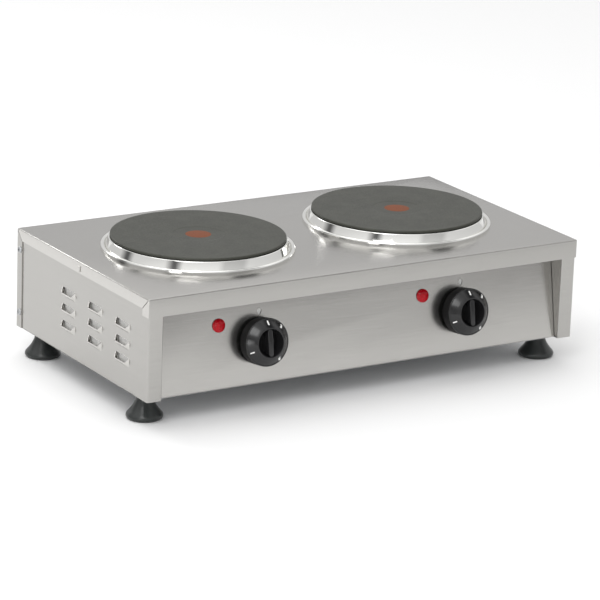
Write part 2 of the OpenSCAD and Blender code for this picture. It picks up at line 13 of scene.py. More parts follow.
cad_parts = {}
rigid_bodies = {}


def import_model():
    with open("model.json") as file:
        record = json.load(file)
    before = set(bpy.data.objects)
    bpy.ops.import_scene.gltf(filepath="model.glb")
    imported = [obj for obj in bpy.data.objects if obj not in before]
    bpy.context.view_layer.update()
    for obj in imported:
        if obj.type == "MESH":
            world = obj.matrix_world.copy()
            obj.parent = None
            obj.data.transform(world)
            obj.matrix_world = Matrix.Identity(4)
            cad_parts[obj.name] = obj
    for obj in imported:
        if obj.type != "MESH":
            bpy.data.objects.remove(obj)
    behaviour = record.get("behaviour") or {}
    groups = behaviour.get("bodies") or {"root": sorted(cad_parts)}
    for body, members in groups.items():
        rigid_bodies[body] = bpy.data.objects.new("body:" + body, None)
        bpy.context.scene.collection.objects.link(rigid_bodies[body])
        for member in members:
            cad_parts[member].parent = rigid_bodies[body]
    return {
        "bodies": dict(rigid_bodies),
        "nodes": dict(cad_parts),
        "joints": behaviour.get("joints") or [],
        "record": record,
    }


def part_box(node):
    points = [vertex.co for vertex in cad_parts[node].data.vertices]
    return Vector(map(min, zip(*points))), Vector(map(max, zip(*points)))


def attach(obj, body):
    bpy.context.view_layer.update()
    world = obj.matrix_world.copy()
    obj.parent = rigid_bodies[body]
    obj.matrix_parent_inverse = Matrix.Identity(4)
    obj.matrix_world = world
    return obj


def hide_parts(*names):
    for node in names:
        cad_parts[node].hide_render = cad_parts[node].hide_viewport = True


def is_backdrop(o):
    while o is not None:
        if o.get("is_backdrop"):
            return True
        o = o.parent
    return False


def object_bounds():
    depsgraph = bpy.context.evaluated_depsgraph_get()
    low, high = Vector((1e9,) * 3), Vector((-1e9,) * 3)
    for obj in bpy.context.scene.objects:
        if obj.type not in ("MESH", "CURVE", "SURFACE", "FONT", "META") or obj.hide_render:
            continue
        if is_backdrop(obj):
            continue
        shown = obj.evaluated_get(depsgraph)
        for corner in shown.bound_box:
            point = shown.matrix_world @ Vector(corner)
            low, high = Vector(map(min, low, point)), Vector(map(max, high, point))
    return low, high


LOG = logging.getLogger("hot_plate")
MM = 0.001
SHEET = 1.0 * MM
STEEL = (0.62, 0.607, 0.582)
IRON = (0.066, 0.068, 0.054)
IRON_TONE = 0.7
# Painted light and shade: these factors scale STEEL into lighter and darker copies, one for each way a face
# looks, for the worktop, control panel, sides, flanges and lips.
TOP_PAINTED_SHADE = 0.70
PANEL_PAINTED_SHADE = 0.78
SIDE_PAINTED_SHADE = 0.73
EDGE_PAINTED_LIGHT = 0.95

Point = tuple[float, float]
Colour = tuple[float, float, float]


class Side(Enum):
    """Which half of the appliance a piece belongs to; the value is the sign of its x."""

    LEFT = -1
    RIGHT = 1

    @property
    def word(self) -> str:
        """The side's word in node names."""
        return self.name.lower()


class Grain(Enum):
    """Direction in which a sheet was brushed."""

    ALONG_X = (0.6, 55.0, 55.0)
    ALONG_Y = (55.0, 0.6, 55.0)
    UPRIGHT = (55.0, 55.0, 0.6)


# ------------------------------------------------------------------ bench work


def deselect() -> None:
    """Deselects every object."""
    bpy.ops.object.select_all(action="DESELECT")


def pick(obj: bpy.types.Object) -> None:
    """Makes one object the only selected one and the active one."""
    deselect()
    obj.select_set(True)
    bpy.context.view_layer.objects.active = obj


def named(obj: bpy.types.Object, name: str) -> bpy.types.Object:
    """Names an object and its mesh."""
    obj.name = name
    obj.data.name = name
    return obj


def finish_modifier(obj: bpy.types.Object, kind: str, **settings: object) -> None:
    """Adds a modifier and applies it.

    Args:
        obj: The object to change.
        kind: Blender's name of the modifier type.
        settings: Values for the modifier's fields.
    """
    pick(obj)
    modifier = obj.modifiers.new(kind.lower(), kind)
    for key, value in settings.items():
        setattr(modifier, key, value)
    bpy.ops.object.modifier_apply(modifier=modifier.name)


def cut(obj: bpy.types.Object, *cutters: bpy.types.Object) -> None:
    """Takes the cutters' volumes out of an object and removes the cutters."""
    for cutter in cutters:
        finish_modifier(obj, "BOOLEAN", operation="DIFFERENCE", solver="EXACT", object=cutter)
        bpy.data.objects.remove(cutter)


def joined(name: str, pieces: Sequence[bpy.types.Object]) -> bpy.types.Object:
    """Joins meshes into one object.

    Args:
        name: The new name.
        pieces: The meshes; the first one stays and takes in the rest.

    Returns:
        The joined object.
    """
    pick(pieces[0])
    for piece in pieces[1:]:
        piece.select_set(True)
    bpy.ops.object.join()
    return named(pieces[0], name)


def settle(obj: bpy.types.Object, place: Matrix | None = None) -> bpy.types.Object:
    """Puts an object's place into its mesh, so that the object sits at the origin.

    Args:
        obj: The object.
        place: A further transform to put the mesh through.

    Returns:
        The same object.
    """
    bpy.context.view_layer.update()
    matrix = (place or Matrix.Identity(4)) @ obj.matrix_world
    obj.data.transform(matrix)
    obj.matrix_world = Matrix.Identity(4)
    return obj


def smooth(obj: bpy.types.Object, degrees: float = 35.0) -> bpy.types.Object:
    """Shades an object smooth, apart from edges sharper than the given angle."""
    pick(obj)
    bpy.ops.object.shade_smooth_by_angle(angle=math.radians(degrees))
    return obj


def edit(obj: bpy.types.Object, kind: str, wanted: Callable[[object], bool]) -> None:
    """Enters edit mode with only the wanted faces or edges selected.

    Args:
        obj: The object to edit.
        kind: "FACE" or "EDGE".
        wanted: Says of a face or an edge whether it is to be selected.
    """
    pick(obj)
    bpy.ops.object.mode_set(mode="EDIT")
    bpy.ops.mesh.select_mode(type=kind)
    bpy.ops.mesh.select_all(action="DESELECT")
    bpy.ops.object.mode_set(mode="OBJECT")
    for item in obj.data.polygons if kind == "FACE" else obj.data.edges:
        item.select = wanted(item)
    bpy.ops.object.mode_set(mode="EDIT")


def arc(centre: Point, radius: float, start: float, end: float, steps: int) -> list[Point]:
    """Points along an arc, both ends included.

    Args:
        centre: The arc's centre.
        radius: Its radius.
        start: First angle in degrees.
        end: Last angle in degrees.
        steps: Number of chords.

    Returns:
        The points in order.
    """
    angles = [math.radians(start + (end - start) * k / steps) for k in range(steps + 1)]
    return [(centre[0] + radius * math.cos(a), centre[1] + radius * math.sin(a)) for a in angles]


def rounded(corners: Sequence[Point], radius: float, steps: int = 4) -> list[Point]:
    """Rounds the inner corners of an open outline with quadratic curves.

    Args:
        corners: The outline's corners.
        radius: Distance from a corner at which its curve starts.
        steps: Chords for each corner.

    Returns:
        The outline's points.
    """
    points = [corners[0]]
    for before, corner, after in zip(corners, corners[1:], corners[2:]):
        middle = Vector(corner)
        start = middle + (Vector(before) - middle).normalized() * radius
        end = middle + (Vector(after) - middle).normalized() * radius
        for k in range(steps + 1):
            t = k / steps
            spot = start * (1 - t) ** 2 + middle * 2 * t * (1 - t) + end * t * t
            points.append((spot.x, spot.y))
    return points + [corners[-1]]


def drawn(points: Sequence[Vector]) -> bpy.types.Object:
    """Draws a chain of edges in edit mode by extruding one vertex, and stays in edit mode.

    Args:
        points: The chain's points.

    Returns:
        The object that holds the chain.
    """
    deselect()
    bpy.ops.mesh.primitive_plane_add(size=MM)
    obj = bpy.context.object
    bpy.ops.object.mode_set(mode="EDIT")
    bpy.ops.mesh.select_mode(type="VERT")
    bpy.ops.mesh.select_all(action="SELECT")
    bpy.ops.mesh.merge(type="CENTER")
    bpy.ops.transform.translate(value=points[0])
    for before, after in zip(points, points[1:]):
        step = {"value": after - before}
        bpy.ops.mesh.extrude_vertices_move(TRANSFORM_OT_translate=step)
    bpy.ops.mesh.select_all(action="SELECT")
    return obj


def turned(name: str, profile: Sequence[Point], steps: int = 128, degrees: float = 30.0) -> bpy.types.Object:
    """Turns a profile about the Z axis, as on a lathe.

    Args:
        name: The piece's name.
        profile: Radius and height of each point, running from axis to axis or closed.
        steps: Sides of the turned piece.
        degrees: Angle above which an edge stays sharp.

    Returns:
        The turned piece.
    """
    obj = drawn([Vector((r, 0, z)) for r, z in profile])
    bpy.ops.mesh.spin(steps=steps, angle=math.tau, center=(0, 0, 0), axis=(0, 0, 1))
    bpy.ops.mesh.select_all(action="SELECT")
    bpy.ops.mesh.remove_doubles(threshold=0.002 * MM)
    bpy.ops.mesh.normals_make_consistent(inside=False)
    bpy.ops.object.mode_set(mode="OBJECT")
    return smooth(named(obj, name), degrees)


def strip(points: Sequence[Vector], along: Vector) -> bpy.types.Object:
    """Draws a chain and extrudes it into an open strip.

    Args:
        points: The chain's points.
        along: The extrusion.

    Returns:
        The strip, in object mode.
    """
    obj = drawn(points)
    bpy.ops.mesh.extrude_region_move(TRANSFORM_OT_translate={"value": along})
    bpy.ops.object.mode_set(mode="OBJECT")
    return obj


def folded(name: str, points: Sequence[Vector], along: Vector) -> bpy.types.Object:
    """Makes a folded sheet: a strip along its middle surface, thickened both ways.

    Args:
        name: The piece's name.
        points: The middle line of the fold.
        along: The direction and width of the sheet.

    Returns:
        The sheet.
    """
    obj = strip(points, along)
    finish_modifier(obj, "SOLIDIFY", thickness=SHEET, offset=0.0, use_even_offset=True)
    return named(obj, name)


def prism(points: Sequence[Vector], along: Vector) -> bpy.types.Object:
    """Makes a closed block by filling an outline and extruding it.

    Args:
        points: The outline's corners.
        along: The extrusion.

    Returns:
        The block.
    """
    obj = drawn(points)
    bpy.ops.mesh.edge_face_add()
    bpy.ops.mesh.extrude_region_move(TRANSFORM_OT_translate={"value": along})
    bpy.ops.mesh.select_all(action="SELECT")
    bpy.ops.mesh.normals_make_consistent(inside=False)
    bpy.ops.object.mode_set(mode="OBJECT")
    return obj


def block(
    low: Sequence[float], high: Sequence[float], bevel: float = 0.0, segments: int = 2
) -> bpy.types.Object:
    """Makes a box between two corners, with its edges rounded if asked.

    Args:
        low: The lowest corner.
        high: The highest corner.
        bevel: Radius of the edges.
        segments: Chords across each rounded edge.

    Returns:
        The box.
    """
    low, high = Vector(low), Vector(high)
    deselect()
    bpy.ops.mesh.primitive_cube_add(size=1, location=(low + high) / 2, scale=high - low)
    obj = settle(bpy.context.object)
    if bevel:
        finish_modifier(obj, "BEVEL", width=bevel, segments=segments, limit_method="NONE")
    return obj


def rod(radius: float, low: float, high: float, sides: int = 48) -> bpy.types.Object:
    """Makes an upright cylinder on the Z axis, for use as a cutter."""
    deselect()
    bpy.ops.mesh.primitive_cylinder_add(
        vertices=sides, radius=radius, depth=high - low, location=(0, 0, (low + high) / 2)
    )
    return settle(bpy.context.object)


# ------------------------------------------------------------------ finishes


class Nodes:
    """A material's node tree, with short calls for the nodes that the finishes use."""

    def __init__(self, name: str) -> None:
        """Starts a material with a Principled shader."""
        self.material = bpy.data.materials.new(name)
        self.material.use_nodes = True
        self.tree = self.material.node_tree
        self.shader = next(n for n in self.tree.nodes if n.type == "BSDF_PRINCIPLED")
        self.coords = self.add("ShaderNodeTexCoord").outputs["Object"]

    def add(self, kind: str, **values: object) -> bpy.types.Node:
        """Adds a node and sets its fields."""
        node = self.tree.nodes.new(kind)
        for key, value in values.items():
            setattr(node, key, value)
        return node

    def link(self, source: bpy.types.NodeSocket, target: bpy.types.NodeSocket) -> None:
        """Links two sockets."""
        self.tree.links.new(source, target)

    def base(self, colour: Colour, metallic: float, roughness: float, **others: float) -> None:
        """Sets the shader's plain values.

        Args:
            colour: Base colour.
            metallic: Metallic value.
            roughness: Roughness value.
            others: Further sockets by name, with underscores for spaces.
        """
        self.shader.inputs["Base Color"].default_value = (*colour, 1.0)
        self.shader.inputs["Metallic"].default_value = metallic
        self.shader.inputs["Roughness"].default_value = roughness
        for key, value in others.items():
            self.shader.inputs[key.replace("_", " ")].default_value = value

    def noise(
        self, scale: float, stretch: Sequence[float] = (1, 1, 1), detail: float = 3.0
    ) -> bpy.types.NodeSocket:
        """Adds a noise pattern on the piece's own coordinates.

        Args:
            scale: Noise cells per metre.
            stretch: Scale along each axis.
            detail: Octaves.

        Returns:
            The pattern's value.
        """
        mapping = self.add("ShaderNodeMapping")
        mapping.inputs["Scale"].default_value = stretch
        self.link(self.coords, mapping.inputs["Vector"])
        noise = self.add("ShaderNodeTexNoise")
        noise.inputs["Scale"].default_value = scale
        noise.inputs["Detail"].default_value = detail
        self.link(mapping.outputs["Vector"], noise.inputs["Vector"])
        return noise.outputs["Fac"]

    def spread(self, value: bpy.types.NodeSocket, low: float, high: float) -> bpy.types.NodeSocket:
        """Maps the middle of a noise pattern on to a range."""
        node = self.add("ShaderNodeMapRange")
        node.inputs["From Min"].default_value = 0.3
        node.inputs["From Max"].default_value = 0.7
        node.inputs["To Min"].default_value = low
        node.inputs["To Max"].default_value = high
        self.link(value, node.inputs["Value"])
        return node.outputs["Result"]

    def tint(self, value: bpy.types.NodeSocket, dark: Colour, light: Colour) -> None:
        """Runs the base colour from one colour to another along a pattern."""
        ramp = self.add("ShaderNodeValToRGB")
        ramp.color_ramp.elements[0].position = 0.3
        ramp.color_ramp.elements[0].color = (*dark, 1.0)
        ramp.color_ramp.elements[1].position = 0.7
        ramp.color_ramp.elements[1].color = (*light, 1.0)
        self.link(value, ramp.inputs["Fac"])
        self.link(ramp.outputs["Color"], self.shader.inputs["Base Color"])

    def rough(self, value: bpy.types.NodeSocket, low: float, high: float) -> None:
        """Runs the roughness between two values along a pattern."""
        self.link(self.spread(value, low, high), self.shader.inputs["Roughness"])

    def bump(self, value: bpy.types.NodeSocket, height: float, strength: float = 1.0) -> None:
        """Raises the surface by a pattern, with the height in metres."""
        node = self.add("ShaderNodeBump")
        node.inputs["Distance"].default_value = height
        node.inputs["Strength"].default_value = strength
        self.link(value, node.inputs["Height"])
        self.link(node.outputs["Normal"], self.shader.inputs["Normal"])


def shade(colour: Colour, factor: float) -> Colour:
    """Scales a colour."""
    return tuple(min(1.0, c * factor) for c in colour)


@dataclass(frozen=True)
class BrushedSteel:
    """Stainless sheet with fine brush lines, drawn out along one direction."""

    name: str
    grain: Grain
    colour: Colour
    roughness: float = 0.23
    line_height: float = 0.035 * MM

    def make(self) -> bpy.types.Material:
        """Builds the material."""
        nodes = Nodes(self.name)
        nodes.base(self.colour, 1.0, self.roughness)
        lines = nodes.noise(42.0, self.grain.value, 4.0)
        clouds = nodes.noise(9.0)
        nodes.tint(lines, shade(self.colour, 0.96), shade(self.colour, 1.04))
        nodes.rough(clouds, self.roughness - 0.03, self.roughness + 0.03)
        nodes.bump(lines, self.line_height, 0.8)
        return nodes.material


@dataclass(frozen=True)
class PolishedSteel:
    """Bright rolled stainless, with the faint waves that rolling leaves."""

    name: str
    colour: Colour = (0.84, 0.835, 0.81)
    roughness: float = 0.05

    def make(self) -> bpy.types.Material:
        """Builds the material."""
        nodes = Nodes(self.name)
        nodes.base(self.colour, 1.0, self.roughness)
        waves = nodes.noise(35.0)
        nodes.rough(nodes.noise(260.0), self.roughness - 0.01, self.roughness + 0.03)
        nodes.bump(waves, 0.10 * MM, 0.3)
        return nodes.material


@dataclass(frozen=True)
class PlatedSteel:
    """Zinc-plated steel with a faint mottle."""

    name: str
    colour: Colour = (0.50, 0.51, 0.52)
    roughness: float = 0.38

    def make(self) -> bpy.types.Material:
        """Builds the material."""
        nodes = Nodes(self.name)
        nodes.base(self.colour, 1.0, self.roughness)
        mottle = nodes.noise(240.0)
        nodes.tint(mottle, shade(self.colour, 0.85), shade(self.colour, 1.1))
        nodes.rough(mottle, self.roughness - 0.06, self.roughness + 0.1)
        return nodes.material


@dataclass(frozen=True)
class AluminisedSteel:
    """Dull aluminised sheet, nearly without a sheen; its pale colour is partly its own and partly painted
    light.
    """

    name: str
    # Painted light: the colour is raised above the sheet's own so that the shaded channel behind the louvres
    # looks lit.
    colour: Colour = (0.93, 0.92, 0.90)

    def make(self) -> bpy.types.Material:
        """Builds the material."""
        nodes = Nodes(self.name)
        nodes.base(self.colour, 0.15, 0.75)
        spangle = nodes.noise(180.0)
        nodes.tint(spangle, shade(self.colour, 0.9), shade(self.colour, 1.08))
        nodes.bump(spangle, 0.02 * MM, 0.4)
        return nodes.material


@dataclass(frozen=True)
class PlateIron:
    """Blackened cast iron with the fine rings that facing on a lathe leaves."""

    name: str
    centre: Vector
    colour: Colour
    roughness: float = 0.50
    ring_pitch: float = 0.9 * MM

    def make(self) -> bpy.types.Material:
        """Builds the material."""
        nodes = Nodes(self.name)
        nodes.base(self.colour, 0.35, self.roughness)
        mapping = nodes.add("ShaderNodeMapping")
        mapping.inputs["Location"].default_value = (-self.centre.x, -self.centre.y, 0.0)
        mapping.inputs["Scale"].default_value = (1.0, 1.0, 0.0)
        nodes.link(nodes.coords, mapping.inputs["Vector"])
        rings = nodes.add("ShaderNodeTexWave", wave_type="RINGS", rings_direction="SPHERICAL")
        rings.inputs["Scale"].default_value = 0.31 / self.ring_pitch
        rings.inputs["Distortion"].default_value = 0.25
        nodes.link(mapping.outputs["Vector"], rings.inputs["Vector"])
        speckle = nodes.noise(900.0)
        nodes.tint(nodes.noise(60.0), shade(self.colour, 0.86), shade(self.colour, 1.12))
        nodes.rough(speckle, self.roughness - 0.05, self.roughness + 0.08)
        nodes.bump(rings.outputs["Fac"], 0.03 * MM, 0.5)
        return nodes.material


@dataclass(frozen=True)
class Moulding:
    """Moulded plastic with a fine satin skin."""

    name: str
    colour: Colour
    roughness: float = 0.35
    grain: float = 0.01 * MM
    shine: float = 0.5

    def make(self) -> bpy.types.Material:
        """Builds the material."""
        nodes = Nodes(self.name)
        nodes.base(self.colour, 0.0, self.roughness, Specular_IOR_Level=self.shine)
        skin = nodes.noise(1500.0)
        nodes.tint(nodes.noise(120.0), shade(self.colour, 0.92), shade(self.colour, 1.08))
        nodes.rough(skin, self.roughness - 0.04, self.roughness + 0.06)
        nodes.bump(skin, self.grain, 0.4)
        return nodes.material


@dataclass(frozen=True)
class Enamel:
    """Flat paint with a slight unevenness, as on a printed or filled mark."""

    name: str
    colour: Colour
    roughness: float = 0.6

    def make(self) -> bpy.types.Material:
        """Builds the material."""
        nodes = Nodes(self.name)
        nodes.base(self.colour, 0.0, self.roughness, Specular_IOR_Level=0.2)
        patches = nodes.noise(500.0)
        nodes.tint(patches, shade(self.colour, 0.9), shade(self.colour, 1.07))
        nodes.bump(patches, 0.01 * MM, 0.5)
        return nodes.material


@dataclass(frozen=True)
class LampPlastic:
    """Clear red plastic of a pilot lamp, lit from outside only."""

    name: str
    colour: Colour = (0.48, 0.0035, 0.012)

    def make(self) -> bpy.types.Material:
        """Builds the material."""
        nodes = Nodes(self.name)
        nodes.base(self.colour, 0.0, 0.22, Transmission_Weight=0.15, Specular_IOR_Level=0.22)
        nodes.tint(nodes.noise(300.0), shade(self.colour, 0.8), shade(self.colour, 1.15))
        return nodes.material


@dataclass(frozen=True)
class Ceramic:
    """Pale fired or pressed ceramic with a grainy surface."""

    name: str
    colour: Colour
    roughness: float = 0.75

    def make(self) -> bpy.types.Material:
        """Builds the material."""
        nodes = Nodes(self.name)
        nodes.base(self.colour, 0.0, self.roughness)
        grains = nodes.noise(700.0)
        nodes.tint(grains, shade(self.colour, 0.88), shade(self.colour, 1.05))
        nodes.bump(grains, 0.06 * MM, 0.6)
        return nodes.material


# ------------------------------------------------------------------ casing


def upright(points: Sequence[Point], x: float) -> list[Vector]:
    """Stands an outline of depth and height up in the plane at x."""
    return [Vector((x, y, z)) for y, z in points]


@dataclass
class Worktop:
    """The folded top sheet with its apron, side flanges and corner tabs."""

    steel: bpy.types.Material
    flange_steel: bpy.types.Material
    bend: float = 1.3 * MM
    flange: float = 12.0 * MM
    tab: float = 12.5 * MM
    tab_toe: float = 6.5 * MM
    slit: float = 0.55 * MM
    hole: float = 91.0 * MM
    nib: Point = (3.2 * MM, 6.4 * MM)
    nib_out: float = 1.3 * MM

    def build(self) -> bpy.types.Object:
        """Builds the sheet, cuts it and dresses it.

        Returns:
            The worktop.
        """
        low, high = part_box("worktop")
        sheet = block(low, high)
        self.open_underside(sheet, low.z)
        finish_modifier(
            sheet, "BEVEL", width=self.bend, segments=4, limit_method="ANGLE", angle_limit=math.radians(60)
        )
        finish_modifier(sheet, "SOLIDIFY", thickness=SHEET, offset=-1.0, use_even_offset=True)
        cut(sheet, *self.side_cutters(low, high), self.rear_cutter(low, high), *self.plate_cutters())
        top = joined("worktop_sheet", [sheet, *self.nibs(low, high)])
        top.data.materials.clear()
        top.data.materials.append(self.steel)
        top.data.materials.append(self.flange_steel)
        # Painted light: the side flanges take the lighter copy of the steel, the rest of the sheet the
        # worktop's shaded copy.
        for face in top.data.polygons:
            face.material_index = int(abs(face.normal.x) > 0.7 and abs(face.center.x) > high.x - 2 * MM)
        return smooth(top, 40)

    def open_underside(self, sheet: bpy.types.Object, floor: float) -> None:
        """Deletes the faces that lie at the sheet's lower edge."""
        edit(sheet, "FACE", lambda face: abs(face.center.z - floor) < SHEET / 2)
        bpy.ops.mesh.delete(type="FACE")
        bpy.ops.object.mode_set(mode="OBJECT")

    def side_cutters(self, low: Vector, high: Vector) -> list[bpy.types.Object]:
        """Makes the two blocks that free the side flanges from the corner tabs."""
        front, rear, top = low.y, high.y, high.z
        base = low.z - 2 * MM
        fall = self.tab_toe - (high.z - low.z)
        outline = [
            (front + self.bend, top - self.bend - self.slit),
            (front + self.tab, top + fall),
            (front + self.tab, base),
            (rear + 2 * MM, base),
            (rear + 2 * MM, top - self.bend),
            (rear - self.slit, top - self.bend),
            (rear - self.flange + self.bend, top - self.flange),
            (front + self.flange + self.bend, top - self.flange),
            (front + self.bend + self.slit, top - self.bend),
        ]
        depth = SHEET + 0.8 * MM
        left = prism(upright(outline, low.x - MM), Vector((depth + 0.5 * MM, 0, 0)))
        right = prism(upright(outline, high.x + MM), Vector((-depth - 0.5 * MM, 0, 0)))
        return [left, right]

    def rear_cutter(self, low: Vector, high: Vector) -> bpy.types.Object:
        """Makes the block that removes the sheet's rear face, where the rear panel stands."""
        return block(
            (low.x - MM, high.y - 1.4 * MM, low.z - MM), (high.x + MM, high.y + MM, high.z - self.bend)
        )

    def plate_cutters(self) -> list[bpy.types.Object]:
        """Makes the two rods that cut the plates' openings."""
        rods = []
        for side in Side:
            low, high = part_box(f"{side.word}_hot_plate")
            centre = (low + high) / 2
            cutter = rod(self.hole, -20 * MM, 20 * MM, 96)
            rods.append(settle(cutter, Matrix.Translation((centre.x, centre.y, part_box("worktop")[1].z))))
        return rods

    def nibs(self, low: Vector, high: Vector) -> list[bpy.types.Object]:
        """Makes the small pips pressed out of the side flanges at mid depth."""
        middle = (low.y + high.y) / 2 + 3 * MM
        width, height = self.nib
        foot = high.z - self.flange + 1.4 * MM
        corner = Vector((self.nib_out, width / 2, height / 2))
        pips = []
        for x in (low.x, high.x):
            centre = Vector((x, middle, foot + height / 2))
            pips.append(block(centre - corner, centre + corner, 1.1 * MM, 4))
        return pips


@dataclass
class Louvres:
    """The pressed lips and slits in a side panel."""

    first: float = 52.7 * MM
    top: float = 98.3 * MM
    pitch_y: float = 57.0 * MM
    pitch_z: float = 17.6 * MM
    length: float = 27.0 * MM
    window: float = 5.0 * MM
    lip: float = 4.6 * MM
    out: float = 3.4 * MM
    taper: float = 3.2 * MM
    count: int = 3

    def places(self) -> list[Point]:
        """Middle and upper edge of each louvre, measured from the apron's face and the counter."""
        span = range(self.count)
        return [(self.first + c * self.pitch_y, self.top - r * self.pitch_z) for c in span for r in span]

    def slit_cutter(self, wall: float) -> bpy.types.Object:
        """Makes the block that cuts one slit, placed at the origin in y and z."""
        half = self.length / 2
        low = -self.window - self.lip * 0.6
        outline = [(-half, 0), (half, 0), (half - self.taper, low), (self.taper - half, low)]
        return prism(upright(outline, wall - 3 * MM), Vector((6 * MM, 0, 0)))

    def lip_shell(self, side: Side, wall: float) -> bpy.types.Object:
        """Presses one lip out of a grid, placed at the origin in y and z.

        Args:
            side: The panel's side.
            wall: The x of the panel's outer face.

        Returns:
            The lip, one sheet thick.
        """
        deselect()
        bpy.ops.mesh.primitive_grid_add(x_subdivisions=28, y_subdivisions=12, size=1)
        lip = bpy.context.object
        half = self.length / 2
        height = self.window + self.lip
        shoulder = 1 - self.taper / half
        for vertex in lip.data.vertices:
            u, v = vertex.co.x * 2, vertex.co.y + 0.5
            ends = max(0.0, abs(u) - shoulder) / (1 - shoulder)
            rise = math.sin(math.radians(90) * min(1.0, v * 1.2)) ** 1.2
            reach = self.out * rise * (1 - ends) ** 0.75
            z = -height + v * (height - self.window * (1 - ends))
            vertex.co = Vector((wall + side.value * (reach - SHEET / 2), u * half * 1.02, z))
        finish_modifier(lip, "SOLIDIFY", thickness=SHEET * 0.8, offset=0.0)
        pick(lip)
        bpy.ops.object.mode_set(mode="EDIT")
        bpy.ops.mesh.select_all(action="SELECT")
        bpy.ops.mesh.normals_make_consistent(inside=False)
        bpy.ops.object.mode_set(mode="OBJECT")
        return lip


@dataclass
class SidePanel:
    """A side panel with the front post, its return and the lower flange in one folded sheet."""

    side: Side
    steel: bpy.types.Material
    front_steel: bpy.types.Material
    lip_steel: bpy.types.Material
    dull: bpy.types.Material
    louvres: Louvres
    bend: float = 1.2 * MM
    post: float = 17.5 * MM
    return_depth: float = 25.0 * MM
    floor_flange: float = 30.0 * MM
    guard_depth: float = 2.4 * MM
    guard_margin: float = 6.0 * MM

    def build(self) -> bpy.types.Object:
        """Folds the sheet, presses its louvres and dresses it.

        Returns:
            The panel.
        """
        low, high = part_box(f"{self.side.word}_side_panel")
        top_low, top_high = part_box("worktop")
        outer = self.side.value * (top_high.x - SHEET)
        front, rear, foot, head = top_low.y + SHEET, high.y, low.z, high.z
        inner = self.side.value * (top_high.x - self.post)
        half = SHEET / 2
        inward = -self.side.value
        plan = rounded(
            [
                (inner - inward * half, top_low.y + self.return_depth),
                (inner - inward * half, front + half),
                (outer + inward * half, front + half),
                (outer + inward * half, rear),
            ],
            self.bend,
        )
        panel = folded("panel", [Vector((x, y, foot)) for x, y in plan], Vector((0, 0, head - foot)))
        flange = block(
            (min(outer, outer + inward * self.floor_flange), front + 26 * MM, foot),
            (max(outer, outer + inward * self.floor_flange), rear - 2 * MM, foot + SHEET),
        )
        guard = self.drip_guard(outer)
        guard.data.materials.append(self.dull)
        cutters, lips = [], []
        for y, z in self.louvres.places():
            shift = Matrix.Translation((0, top_low.y + y, z))
            cutters.append(settle(self.louvres.slit_cutter(outer), shift))
            lips.append(settle(self.louvres.lip_shell(self.side, outer), shift))
        cut(panel, *cutters)
        # The panel and its floor flange take the side's copy of the steel, whose tone is painted shade.
        for sheet in (panel, flange):
            sheet.data.materials.append(self.steel)
        # Painted highlight: the lips take the lighter flange copy of the steel.
        for lip in lips:
            lip.data.materials.append(self.lip_steel)
        # The post's front faces take the worktop's copy: its grain across is real, its darker tone is painted
        # shade.
        panel.data.materials.append(self.front_steel)
        for face in panel.data.polygons:
            face.material_index = int(abs(face.normal.y) > 0.7 and face.center.y < front + 2 * MM)
        whole = joined(f"{self.side.word}_side_sheet", [panel, flange, guard, *lips])
        return smooth(whole, 40)

    def drip_guard(self, wall: float) -> bpy.types.Object:
        """Folds the shallow channel that hangs behind the louvres, open at the bottom.

        Args:
            wall: The x of the panel's outer face.

        Returns:
            The channel.
        """
        places, half = self.louvres.places(), self.louvres.length / 2 + self.guard_margin
        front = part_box("worktop")[0].y + min(y for y, _ in places) - half
        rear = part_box("worktop")[0].y + max(y for y, _ in places) + half
        foot = min(z for _, z in places) - self.louvres.window - self.louvres.lip - self.guard_margin
        head = max(z for _, z in places) + self.guard_margin
        near = wall - self.side.value * SHEET
        far = near - self.side.value * self.guard_depth
        plan = rounded([(near, front), (far, front), (far, rear), (near, rear)], 0.8 * MM)
        return folded("drip_guard", [Vector((x, y, foot)) for x, y in plan], Vector((0, 0, head - foot)))


@dataclass
class PanelPlace:
    """Where the leaning control panel is: the axes of the two knobs lie on it."""

    knobs: dict[Side, Vector]
    out: Vector

    def matrix(self, spot: Vector) -> Matrix:
        """Frame on the panel: x across, y up the slope and z out of its face.

        Args:
            spot: A point, which is dropped square on to the panel's face.

        Returns:
            The frame's matrix.
        """
        anchor = self.knobs[Side.LEFT]
        across = Vector((1, 0, 0))
        turn = Matrix((across, self.out.cross(across), self.out)).transposed().to_4x4()
        turn.translation = spot - self.out * (spot - anchor).dot(self.out)
        return turn


def read_panel(joints: Sequence[dict]) -> PanelPlace:
    """Reads the panel's place from the knobs' hinges.

    Args:
        joints: The frame's joints.

    Returns:
        The place.
    """
    hinges = {side: next(j for j in joints if j["name"] == f"{side.word}_knob_turn") for side in Side}
    knobs = {side: Vector(hinge["pos_m"]) for side, hinge in hinges.items()}
    return PanelPlace(knobs, -Vector(hinges[Side.LEFT]["axis"]).normalized())


